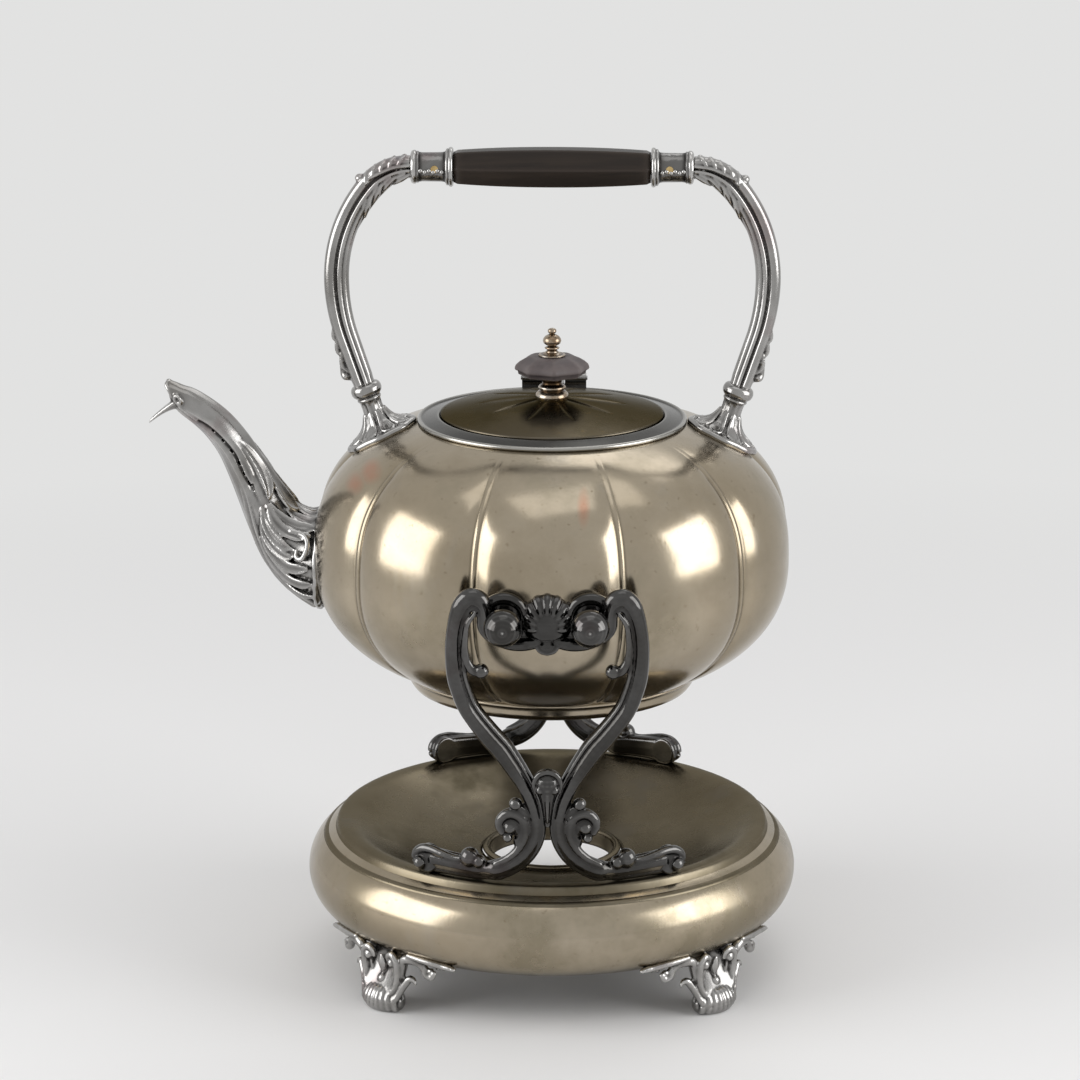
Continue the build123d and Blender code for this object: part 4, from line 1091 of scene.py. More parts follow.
# ---------------------------------------------------------------- studs and brackets
def studs():
    line = [
        (0.01, -125.0), (1.6, -124.85), (3.3, -124.2), (5.0, -123.1), (6.4, -121.5), (7.3, -119.5),
        (7.6, -117.4), (7.35, -115.5), (6.6, -113.7), (5.6, -112.4), (4.7, -111.7), (4.1, -111.3),
        (3.5, -110.9), (3.5, -104.4), (3.5, -101.4), (2.5, -101.35), (2.5, -99.1), (0.01, -99.0),
    ]
    for name, x, y, body in (
        ("front_handle_side", 1, 1, "kettle"), ("rear_handle_side", 1, -1, "kettle"),
        ("front_spout_side", -1, 1, "pivot_studs"), ("rear_spout_side", -1, -1, "pivot_studs"),
    ):
        form = Form().lathe(line, 72, (STUD_X * x, 0, STUD_Z), "y").mirrored(1, y)
        piece(f"ball_stud_{name}", form, ARM_SILVER, body, [f"stud_{name}"],
              relief=(4, 0.4))


BRACKET_Y = 101.3


def bracket_form():
    """Bracket of the kettle: two C scrolls over the studs, and a fluted shell between them."""
    def at(x, z, out=0.0):
        return np.array((x, -BRACKET_Y - out, z))

    form = Form()
    half = Form()
    c_scroll = []
    for i in range(17):
        t = i / 16
        angle = radians(200 - 232 * t)
        c_scroll.append((
            *at(STUD_X + 8.0 * cos(angle), STUD_Z + 0.2 + 7.6 * sin(angle), 0.8), 1.8 + 0.7 * sin(pi * t)
        ))
    half.tube(c_scroll, count=72, sides=14)
    half.ball(at(STUD_X, STUD_Z + 0.4, -3.4), 8.8, (1.0, 0.30, 1.0), 28)
    half.run(at, [
        (4.0, 167.4, 0.2, 2.2), (9.0, 166.5, 0.4, 2.4), (14.0, 166.6, 0.5, 2.3), (19.0, 168.0, 0.5, 2.1),
        (23.4, 170.8, 0.4, 1.9), (26.2, 174.8, 0.2, 1.6),
    ], count=44, sides=14)
    form.plus(half).plus(half.mirrored(-1))
    plate = []
    for out, shrink in ((-8.2, 1.0), (-2.4, 1.0), (-1.4, 0.95), (-1.2, 0.5)):
        row = []
        for i in range(72):
            turn = 2 * pi * i / 72
            height = 8.6 * sin(turn) * shrink * (1 - 0.12 * cos(2 * turn))
            row.append(at(25.2 * cos(turn) * shrink, STUD_Z - 2.2 + height, out))
        plate.append(row)
    form.skin(plate)
    for side in (1, -1):
        form.run(at, [
            (STUD_X * side, STUD_Z, -8.5, 6.6), (STUD_X * side, STUD_Z, -1.4, 6.3),
        ], count=6, sides=24, dome=False)
    # shell: a domed disc, and fat flutes that fan out over it from low on it
    hub_z, middle_z, wide = 172.4, 176.9, 8.6
    form.ball(at(0, middle_z, -1.4), 10.3, (1.0, 0.60, 1.0), 36)
    flutes = 9
    for i in range(flutes):
        turn = radians(-14 + 208 * i / (flutes - 1))
        tip_x, tip_z = wide * cos(turn), middle_z + wide * sin(turn)
        form.tube([
            (*at(tip_x * u, hub_z + (tip_z - hub_z) * u, out), r)
            for u, out, r in (
                (0.45, 3.1, 0.8), (0.62, 3.2, 1.6), (0.78, 2.5, 2.15), (0.90, 1.0, 2.5), (0.97, 0.0, 2.5),
            )
        ], count=26, sides=12)
    # round boss under the shell, and the small leaf that ends it
    form.ball(at(0, 166.0, 0.2), 3.9, (1.15, 0.75, 0.85), 28)
    for side in (1, -1):
        form.run(at, [(4.6 * side, 166.6, 1.6, 0.8), (2.6 * side, 164.4, 1.9, 1.0), (0, 163.6, 1.9, 1.0)])
    return form


def brackets():
    front = bracket_form()
    for name, y in (("front", 1), ("rear", -1)):
        piece(
            f"cast_bracket_{name}", front.mirrored(1, y), ARM_SILVER, "kettle",
            [f"bracket_{name}"], voxel=0.32, soften=2, relief=(16, 0.55),
        )


# ---------------------------------------------------------------- handle
# The handle arm runs from the ferrule over the crown, down the flank and the side, to the socket's knop.
GRIP_HALF = 40.4
FERRULE_END = 58.0
CROWN_R, CROWN = 22.2, radians(50.0)
SIDE_R, SOCKET_LEAN = 77.0, radians(18.9)
SOCKET_X = 70.9
SOCKET_Z = STUD_Z + SHOULDER * (1 - (SOCKET_X / BODY_R) ** UPPER_POWER) ** (1 / UPPER_POWER)
SOCKET_TALL = 19.1
KNOP_X = SOCKET_X + SOCKET_TALL * sin(SOCKET_LEAN)
KNOP_Z = SOCKET_Z + SOCKET_TALL * cos(SOCKET_LEAN)
CROWN_X = FERRULE_END + CROWN_R * sin(CROWN)
CROWN_Z = GRIP_Z - CROWN_R * (1 - cos(CROWN))
FLANK_R = (
    CROWN_Z - KNOP_Z - SIDE_R * sin(SOCKET_LEAN)
    - (CROWN_X - SIDE_R * (1 - cos(SOCKET_LEAN)) - KNOP_X) / tan(SOCKET_LEAN)
) / (cos(CROWN) + (1 - sin(CROWN)) / tan(SOCKET_LEAN))
BAIL_X = CROWN_X + FLANK_R * (1 - sin(CROWN))
FLANK_Z = CROWN_Z - FLANK_R * cos(CROWN)


def handle_line():
    """Middle of the right handle arm in the upright plane, from the ferrule down to the knop."""
    line = []
    for i in range(14):
        t = CROWN * i / 14
        line.append((FERRULE_END + CROWN_R * sin(t), GRIP_Z - CROWN_R * (1 - cos(t))))
    for i in range(28):
        t = (pi / 2 - CROWN) * (1 - i / 28)
        line.append((BAIL_X - FLANK_R + FLANK_R * cos(t), FLANK_Z + FLANK_R * sin(t)))
    for i in range(20):
        t = SOCKET_LEAN * i / 20
        line.append((BAIL_X - SIDE_R * (1 - cos(t)), FLANK_Z - SIDE_R * sin(t)))
    last = (BAIL_X - SIDE_R * (1 - cos(SOCKET_LEAN)), FLANK_Z - SIDE_R * sin(SOCKET_LEAN))
    foot = (KNOP_X + 2.8 * sin(SOCKET_LEAN), KNOP_Z + 2.8 * cos(SOCKET_LEAN))
    for i in range(13):
        line.append((last[0] + (foot[0] - last[0]) * i / 12, last[1] + (foot[1] - last[1]) * i / 12))
    return np.array(line)


def handle_arm_form():
    form = Form()
    line = handle_line()
    tangents = np.gradient(line, axis=0)
    tangents /= np.linalg.norm(tangents, axis=1)[:, None]
    outward = np.stack([-tangents[:, 1], tangents[:, 0]], axis=1)
    outward *= np.sign(outward[0] @ np.array((0, 1)))
    # Half of the section, outer edge first, as (across, front) in halves of the arm's width and depth.
    half = [
        (1.00, 0.0), (0.985, 0.28), (0.92, 0.58), (0.79, 0.85), (0.60, 0.99), (0.40, 1.00), (0.22, 0.90),
        (0.12, 0.74), (0.06, 0.66), (0.00, 0.68), (-0.08, 0.86), (-0.20, 0.97), (-0.34, 0.93), (-0.43, 0.80),
        (-0.47, 0.74), (-0.52, 0.78), (-0.62, 0.84), (-0.75, 0.76), (-0.88, 0.56), (-0.97, 0.28), (-1.0, 0.0),
    ]
    section = half + [(a, -b) for a, b in half[-2:0:-1]]
    rows = []
    count = len(line)
    for i, (place, out) in enumerate(zip(line, outward)):
        t = i / (count - 1)
        width = 5.2 - 0.5 * exp(-(t / 0.06) ** 2) - 0.55 * max(0, t - 0.6) / 0.4
        depth = 4.0 - 0.25 * max(0, t - 0.6) / 0.4
        if t > 0.985:
            width *= 0.96
        rows.append([
            (place[0] + a * width * out[0], b * depth, place[1] + a * width * out[1]) for a, b in section
        ])
    form.skin(rows)

    def on_bend(t, across, front):
        k = t * (count - 1)
        i = min(int(k), count - 2)
        place = line[i] + (line[i + 1] - line[i]) * (k - i)
        out = outward[i]
        return np.array((place[0] + across * out[0], front, place[1] + across * out[1]))

    for side in (1, -1):
        # slanted veins of the leaf laid over the outer side of the upper bend
        for t in (0.02, 0.055, 0.09, 0.125, 0.16):
            form.run(on_bend, [
                (t, 4.6, 2.0 * side, 0.7), (t + 0.014, 3.4, 3.2 * side, 1.0),
                (t + 0.024, 2.0, 3.8 * side, 0.7),
            ], count=9, sides=8)
        form.run(on_bend, [
            (0.0, 1.1, 3.9 * side, 0.7), (0.07, 1.2, 4.0 * side, 0.8), (0.13, 1.6, 3.9 * side, 0.8),
            (0.175, 3.0, 3.1 * side, 0.9), (0.195, 4.7, 1.2 * side, 1.0),
        ], count=28, sides=8)
        # long lobes that turn off the inner side, each with its tip towards the socket
        for t in (-0.01, 0.06, 0.13, 0.20):
            form.run(on_bend, [
                (max(0.0, t), -2.8, 3.0 * side, 0.5), (t + 0.03, -3.5, 2.7 * side, 1.1),
                (t + 0.06, -4.4, 2.1 * side, 1.35), (t + 0.085, -5.2, 1.3 * side, 0.9),
                (t + 0.10, -5.7, 0.7 * side, 0.5),
            ], count=24, sides=10)
            form.run(on_bend, [
                (t + 0.035, -2.2, 3.4 * side, 0.45), (t + 0.06, -2.9, 3.1 * side, 0.65),
                (t + 0.085, -3.9, 2.6 * side, 0.45),
            ], count=9, sides=8)
        # scrolled leaf on the outer side above the knop
        for t0, reach in ((0.80, 4.6), (0.85, 5.0), (0.90, 5.3)):
            form.run(on_bend, [
                (t0 - 0.035, 3.2, 2.0 * side, 0.7), (t0, reach, 1.5 * side, 1.1),
                (t0 + 0.022, reach + 0.5, 1.0 * side, 1.2), (t0 + 0.04, reach - 0.8, 1.5 * side, 0.9),
            ], count=12, sides=8)
    form.ball(on_bend(0.955, 6.1, 0), 1.9, (1, 1.3, 1))
    form.run(on_bend, [
        (0.90, 4.6, 0, 1.4), (0.93, 6.0, 0, 1.5), (0.957, 6.2, 0, 1.6), (0.965, 4.8, 0, 1.3),
    ], sides=10)
    form.ball(on_bend(0.19, 5.0, 0), 1.9, (1.1, 1.4, 1.0), 16)
    form.run(on_bend, [
        (0.10, -4.8, 0, 0.9), (0.20, -5.0, 0, 1.3), (0.28, -4.9, 0, 1.1), (0.36, -4.6, 0, 0.6),
    ], count=20, sides=10)
    return form


def ferrule_form():
    """Right ferrule: a drum between two pairs of rings, with a row of beads along its front and back."""
    a, b = 40.5, FERRULE_END
    line = [
        (2.9, a + 0.02), (7.5, a + 0.02), (8.1, a + 0.5), (8.2, a + 1.1), (7.9, a + 1.7), (7.4, a + 1.95),
        (7.6, a + 2.3), (7.5, a + 2.8), (6.6, a + 3.2), (6.2, a + 3.6), (6.05, a + 5.0), (6.0, a + 8.0),
        (5.95, b - 4.6), (6.1, b - 3.5), (6.6, b - 3.1), (6.5, b - 2.7), (6.4, b - 2.4), (6.9, b - 2.0),
        (6.95, b - 1.2), (6.5, b - 0.4), (5.6, b - 0.03), (2.9, b - 0.03),
    ]
    form = Form().lathe(line, 96, (0, 0, GRIP_Z), "x")
    for side in (1, -1):
        for k in range(6):
            low = radians(-12 + 5 * (k % 2))
            form.ball((a + 4.5 + 1.75 * k, -side * 6.0 * cos(low), GRIP_Z + 6.0 * sin(low)), 1.05, steps=14)
    return form


def on_shoulder(r, turn, lift):
    """A place over the body's shoulder, round the right socket's foot."""
    x = SOCKET_X - 0.4 + r * cos(turn)
    y = r * sin(turn)
    ring = min(0.985, sqrt(x * x + y * y) / BODY_R)
    height = SHOULDER * (1 - ring ** UPPER_POWER) ** (1 / UPPER_POWER)
    return np.array((x + 0.36 * lift, y, STUD_Z + height + 0.933 * lift))


def socket_form():
    """Right handle socket: knop, fluted neck, and a leafed foot with a rolled rim."""
    line = [
        (0.01, 3.15), (4.6, 3.15), (5.4, 2.9), (6.1, 2.2), (6.5, 1.0), (6.5, -0.2), (6.1, -1.3), (5.2, -2.2),
        (4.7, -2.5), (4.9, -2.9), (5.2, -3.2), (5.0, -3.7), (4.55, -4.2), (4.4, -6.5), (4.5, -9.0),
        (4.9, -11.3), (5.7, -13.4), (7.0, -15.4), (8.4, -17.2), (8.8, -19.5), (0.01, -19.5),
    ]

    def flute(r, h, turn):
        share = min(1, max(0, (-3.6 - h) / 2)) * min(1, max(0, (h + 15) / 3))
        return r * (1 - 0.085 * share * (0.5 - 0.5 * cos(10 * turn)) ** 0.6)

    lean = SOCKET_LEAN
    form = Form().lathe(line, 120, flute=flute).placed(
        (KNOP_X, 0, KNOP_Z), (cos(lean), 0, -sin(lean)), (0, 1, 0), (sin(lean), 0, cos(lean))
    )
    count = 8
    for i in range(count):
        turn = 2 * pi * (i + 0.5) / count
        form.run(on_shoulder, [
            (4.2, turn, 9.6, 0.9), (5.6, turn, 6.0, 1.5), (7.7, turn, 3.6, 2.4), (10.0, turn, 2.0, 3.0),
            (11.9, turn, 1.5, 2.2),
        ], count=26, sides=14, flat=0.5, up=(0.5, 0, 0.866))
        for way in (1, -1):
            form.run(on_shoulder, [
                (4.3, turn + 0.10 * way, 10.0, 0.5), (5.9, turn + 0.20 * way, 6.2, 0.65),
                (8.1, turn + 0.25 * way, 3.8, 0.7), (10.4, turn + 0.22 * way, 2.7, 0.75),
                (12.0, turn + 0.06 * way, 2.4, 0.7),
            ], count=24, sides=8)
        form.run(on_shoulder, [
            (7.4, turn, 4.9, 0.4), (9.4, turn, 3.2, 0.6), (11.2, turn, 2.5, 0.45),
        ], count=9, sides=8)
    for i in range(count):
        turn = 2 * pi * i / count
        form.run(on_shoulder, [
            (6.0, turn, 4.6, 0.5), (8.6, turn, 2.2, 0.9), (10.8, turn, 1.3, 1.0),
        ], count=10, sides=8)
        form.ball(on_shoulder(12.0, turn, 1.9), 1.2, steps=14)
    rim = [(*on_shoulder(12.7 + 0.30 * cos(8 * t), t, 1.0), 1.55) for t in np.linspace(0, 2 * pi + 0.08, 90)]
    return form.tube(rim, count=180, sides=12)


def handle():
    wood_rows = []
    for i in range(49):
        x = -GRIP_HALF + 2 * GRIP_HALF * i / 48
        t = abs(x) / GRIP_HALF
        corner = 8.85 - (8.85 - 7.3) * t ** 2.2
        if t > 0.97:
            corner -= 0.7 * (t - 0.97) / 0.03
        row = []
        for k in range(72):
            turn = 2 * pi * k / 72
            local = (turn % (pi / 3)) - pi / 6
            sharp = cos(pi / 6) / cos(local)
            r = corner * (sharp * 0.9 + 0.1 * (0.5 + 0.5 * sharp))
            row.append((x, r * cos(turn), GRIP_Z + r * sin(turn)))
        wood_rows.append(row)
    piece("grip_six_sided", Form().skin(wood_rows), GRIP_WOOD, "kettle", ["grip"],
          relief=(3, 0.12))
    arm = handle_arm_form()
    ferrule = ferrule_form()
    socket = socket_form()
    for name, x in (("right", 1), ("left", -1)):
        piece(f"reeded_handle_arm_{name}", arm.mirrored(x), CAST, "kettle",
              [f"handle_arm_{name}"], voxel=0.36, soften=1, relief=(16, 0.35))
        piece(f"ferrule_turned_{name}", ferrule.mirrored(x), GRAINED_SILVER, "kettle",
              [f"handle_ferrule_{name}"], relief=(6, 0.3))
        piece(f"leafed_socket_{name}", socket.mirrored(x), CAST, "kettle",
              [f"handle_socket_{name}"], voxel=0.30, soften=1, relief=(16, 0.40))


# ---------------------------------------------------------------- spout
# Middle of the spout as (share of its run, share of its rise, direction, share of the root's half width).
ROOT_X, SPOUT_RUN, SPOUT_RISE, ROOT_HALF = -88.0, 70.6, 68.5, 25.5
SPOUT = (
    (0.000, -0.058, 180, 1.000), (0.142, -0.036, 170, 0.902), (0.290, 0.044, 150, 0.686),
    (0.404, 0.190, 132, 0.518), (0.490, 0.368, 118, 0.416), (0.561, 0.520, 117, 0.361),
    (0.637, 0.666, 122, 0.322), (0.737, 0.797, 134, 0.298), (0.858, 0.899, 148, 0.271),
    (0.935, 0.953, 160, 0.243), (1.000, 1.000, 186, 0.188),
)


def spout_frame(s):
    """Middle, direction and half width of the spout at a share s of its length, root to mouth."""
    return SPOUT_LINE[min(len(SPOUT_LINE) - 1, max(0, int(round(s * (len(SPOUT_LINE) - 1)))))]


SPOUT_LINE = spline([
    (ROOT_X - SPOUT_RUN * a, 0, STUD_Z + SPOUT_RISE * b, ROOT_HALF * w, radians(d)) for a, b, d, w in SPOUT
], 201)


def on_spout(s, turn, lift=0.0, inset=0.0):
    """A place on the spout: turn is 0 on its upper ridge and 180 on its keel, to the front."""
    x, _, z, half, direction = spout_frame(s)
    t = radians(turn)
    across, over = half - inset, 0.86 * half - inset
    up = np.array((sin(direction), 0, -cos(direction)))
    side = np.array((0, -1, 0))
    normal = up * cos(t) / over + side * sin(t) / across
    normal /= np.linalg.norm(normal)
    return np.array((x, 0, z)) + up * over * cos(t) + side * across * sin(t) + normal * lift


BLADE_STEPS = 32


def blade(form, path, rim):
    """A leaf blade lying on the spout, hollow along its middle and raised along both edges."""
    known = []
    for s, turn, half, lift in path:
        p = on_spout(s, turn, lift)
        known.append((*p, *(on_spout(s, turn, lift + 1) - p), half))
    line = spline(known, BLADE_STEPS)
    along = np.gradient(line[:, :3], axis=0)
    rows = []
    for values, step in zip(line, along):
        place, normal, w = values[:3], values[3:6] / np.linalg.norm(values[3:6]), max(0.2, values[6])
        side = np.cross(step / np.linalg.norm(step), normal)
        side /= np.linalg.norm(side)
        h = min(1.0, 0.35 * w + 0.25) * rim
        section = (
            (-1.0, -0.3), (-0.98, 0.5), (-0.84, 1.0), (-0.66, 0.85), (-0.40, 0.35), (0.0, 0.10), (0.40, 0.35),
            (0.66, 0.85), (0.84, 1.0), (0.98, 0.5), (1.0, -0.3), (0.8, -1.6), (0.0, -2.0), (-0.8, -1.6),
        )
        rows.append([place + side * a * w + normal * b * h for a, b in section])
    return form.skin(rows)


def spout_form():
    def surface(s, turn):
        """Height of the cast surface over the plain tube."""
        t = abs(turn)
        groove = float(np.interp(s, (0.44, 0.53, 0.66, 0.80, 0.98), (92, 93, 99, 114, 147)))
        fade = min(1, max(0, (s - 0.40) / 0.10)) * min(1, (1.05 - s) / 0.10)
        lift = -1.4 * fade * exp(-((t - groove) / 8.0) ** 2)
        lift += 0.6 * fade * exp(-((t - groove + 22) / 13.0) ** 2)
        lift += 0.7 * fade * exp(-((t - groove - 20) / 11.0) ** 2)
        lift += 0.7 * exp(-((180 - t) / 8.0) ** 2) * min(1, s * 6)
        lift += 0.4 * exp(-(t / 12.0) ** 2) * min(1, max(0, (s - 0.30) / 0.2)) * min(1, (1.0 - s) / 0.1)
        lift -= 0.9 * min(1, max(0, (0.40 - s) / 0.10)) * min(1, (180 - t) / 30)
        lift -= 0.55 * exp(-((s - 0.955) / 0.022) ** 2) * exp(-(t / 45.0) ** 2)
        return lift

    def mouth(s, turn):
        """How far the curved edge of the mouth runs beyond the plain cut."""
        t = abs(turn)
        ease = max(0.0, (s - 0.90) / 0.10)
        return ease * (1.3 * exp(-((t - 44) / 34.0) ** 2) - 0.2 * exp(-((t - 112) / 30.0) ** 2))

    def wall(s, turn, lift, inset):
        direction = spout_frame(s)[4]
        shift = mouth(s, turn)
        return on_spout(s, turn, lift, inset) + np.array((cos(direction), 0, sin(direction))) * shift

    form = Form()
    outer, inner = [], []
    for i in range(4, 121):
        s = i / 120
        outer.append([wall(s, a, surface(s, a), 0) for a in range(-180, 180, 4)])
        inner.append([wall(s, a, 0, 1.5) for a in range(-180, 180, 4)])
    form.skin(outer + inner[::-1], start=False, end=False)
    # close the root between the outer and the inner wall
    form.skin([outer[0], inner[0]], start=False, end=False)
    edge = [(*wall(1.0, a, surface(1.0, a), 0.35), 0.85) for a in range(-180, 184, 6)]
    form.tube(edge, count=150, sides=10)
    half = Form()
    # ring beside the mouth
    ring = []
    middle = on_spout(0.958, 96, 0.7)
    ahead, across = on_spout(0.975, 96, 0.7) - middle, on_spout(0.958, 116, 0.7) - middle
    ahead, across = ahead / np.linalg.norm(ahead), across / np.linalg.norm(across)
    for i in range(25):
        turn = 2 * pi * i / 24
        ring.append((*(middle + 1.7 * cos(turn) * ahead + 1.5 * sin(turn) * across), 0.75))
    half.tube(ring, count=60, sides=8)
    half.run(on_spout, [(0.94, 118, 0.3, 0.9), (0.90, 122, 0.2, 0.7), (0.85, 124, 0.0, 0.5)])
    # pointed leaf of the upper tube, and the rounded lobe over it
    blade(half, ((0.70, 54, 0.5, -0.5), (0.63, 46, 2.2, 0.1), (0.56, 43, 3.1, 0.5), (0.49, 50, 3.0, 1.1),
                 (0.45, 60, 1.9, 1.5), (0.425, 69, 0.5, 1.6)), 0.6)
    blade(half, ((0.62, 12, 0.5, -0.4), (0.54, 16, 2.2, 0.2), (0.46, 22, 3.4, 0.7), (0.39, 25, 4.2, 1.0),
                 (0.34, 24, 4.0, 1.0), (0.305, 20, 2.4, 0.8), (0.29, 16, 0.6, 0.5)), 0.65)
    blade(half, ((0.64, 84, 0.4, 0.0), (0.59, 81, 1.4, 0.3), (0.55, 82, 1.5, 0.5), (0.51, 87, 0.4, 0.5)), 0.7)
    # blades that stream from the side of the spout to its root
    for path in (
        ((0.337, 6, 0.6, 0.0), (0.273, 10, 2.4, 0.2), (0.197, 12, 3.0, 0.4), (0.138, 12, 2.4, 0.3),
         (0.111, 12, 0.8, 0.1)),
        ((0.348, 40, 0.7, 0.1), (0.273, 36, 2.3, 0.4), (0.197, 31, 2.9, 0.7), (0.149, 28, 2.4, 0.7),
         (0.122, 26, 0.8, 0.4)),
        ((0.410, 69, 0.6, 0.6), (0.348, 64, 1.8, 0.8), (0.262, 54, 2.6, 1.0), (0.187, 45, 2.7, 1.1),
         (0.138, 41, 1.0, 0.9)),
        ((0.410, 76, 0.6, 0.7), (0.337, 78, 1.8, 1.0), (0.262, 70, 2.4, 1.4), (0.197, 60, 2.2, 1.7),
         (0.149, 54, 0.9, 1.4)),
        ((0.410, 90, 0.6, 0.4), (0.358, 97, 1.7, 0.8), (0.305, 97, 2.3, 1.3), (0.251, 90, 2.2, 1.7),
         (0.213, 84, 0.7, 1.6)),
        ((0.380, 102, 0.6, 0.3), (0.326, 110, 1.9, 0.7), (0.273, 108, 2.2, 1.3), (0.224, 100, 2.0, 1.6),
         (0.192, 93, 0.7, 1.6)),
        ((0.294, 96, 0.5, 0.4), (0.240, 92, 1.8, 0.8), (0.197, 86, 1.9, 1.2), (0.165, 80, 0.6, 1.2)),
        ((0.358, 114, 0.6, 0.0), (0.273, 120, 2.3, 0.6), (0.197, 110, 2.8, 1.1), (0.149, 99, 2.3, 1.3),
         (0.122, 93, 0.8, 1.1)),
        ((0.326, 128, 0.6, 0.0), (0.240, 132, 2.5, 0.5), (0.165, 125, 2.8, 1.0), (0.122, 115, 2.2, 1.1),
         (0.101, 110, 0.8, 0.9)),
        ((0.251, 145, 0.6, 0.0), (0.176, 145, 2.2, 0.5), (0.122, 137, 2.1, 1.0), (0.084, 129, 0.8, 1.0)),
        ((0.560, 116, 0.5, 0.0), (0.470, 122, 1.6, 0.3), (0.358, 137, 2.2, 0.3), (0.251, 150, 2.4, 0.3),
         (0.144, 157, 2.0, 0.5), (0.079, 158, 0.8, 0.6)),
    ):
        blade(half, path, 0.75)
    # curled end of the middle blade
    half.tube([
        (*on_spout(s, turn, 1.9), r) for s, turn, r in (
            (0.262, 66, 0.6), (0.222, 60, 0.95), (0.184, 59, 1.15), (0.156, 66, 1.25), (0.148, 77, 1.25),
            (0.160, 87, 1.15), (0.180, 88, 1.0), (0.190, 80, 0.8),
        )
    ], count=60, sides=10)
    form.plus(half).plus(half.mirrored(1, -1))
    # flange of the root, lying against the body
    rim = []
    for i in range(49):
        turn = -180 + 360 * i / 48
        share = float(np.interp(abs(turn), (0, 39, 75, 114, 180), (0.140, 0.124, 0.103, 0.082, 0.062)))
        rim.append((*on_spout(share, turn, 0.3), 1.35))
    form.tube(rim, count=180, sides=10)
    form.run(on_spout, [
        (0.30, 180, 0.2, 0.9), (0.20, 180, 0.6, 1.3), (0.12, 180, 0.8, 1.6), (0.085, 180, 1.2, 1.8),
    ], count=20)
    # drooping lip under the mouth, hollow above
    rows = []
    for i in range(17):
        t = i / 16
        x = -155.0 - 13.0 * t
        z = STUD_Z + 62.6 - 7.9 * t ** 1.5
        w = 3.6 * (1 - t ** 1.4) + 0.75
        h = 2.4 - 1.3 * t
        rows.append([
            (x + 0.3 * h * sin(a), w * cos(a), z + h * sin(a) + 0.10 * (w * cos(a)) ** 2 * (1 - 0.5 * t))
            for a in (2 * pi * k / 24 for k in range(24))
        ])
    form.skin(rows)
    return form


def spout():
    piece("cast_spout", spout_form(), CAST, "kettle", ["spout"],
          voxel=0.51, soften=2, relief=(15, 0.5))


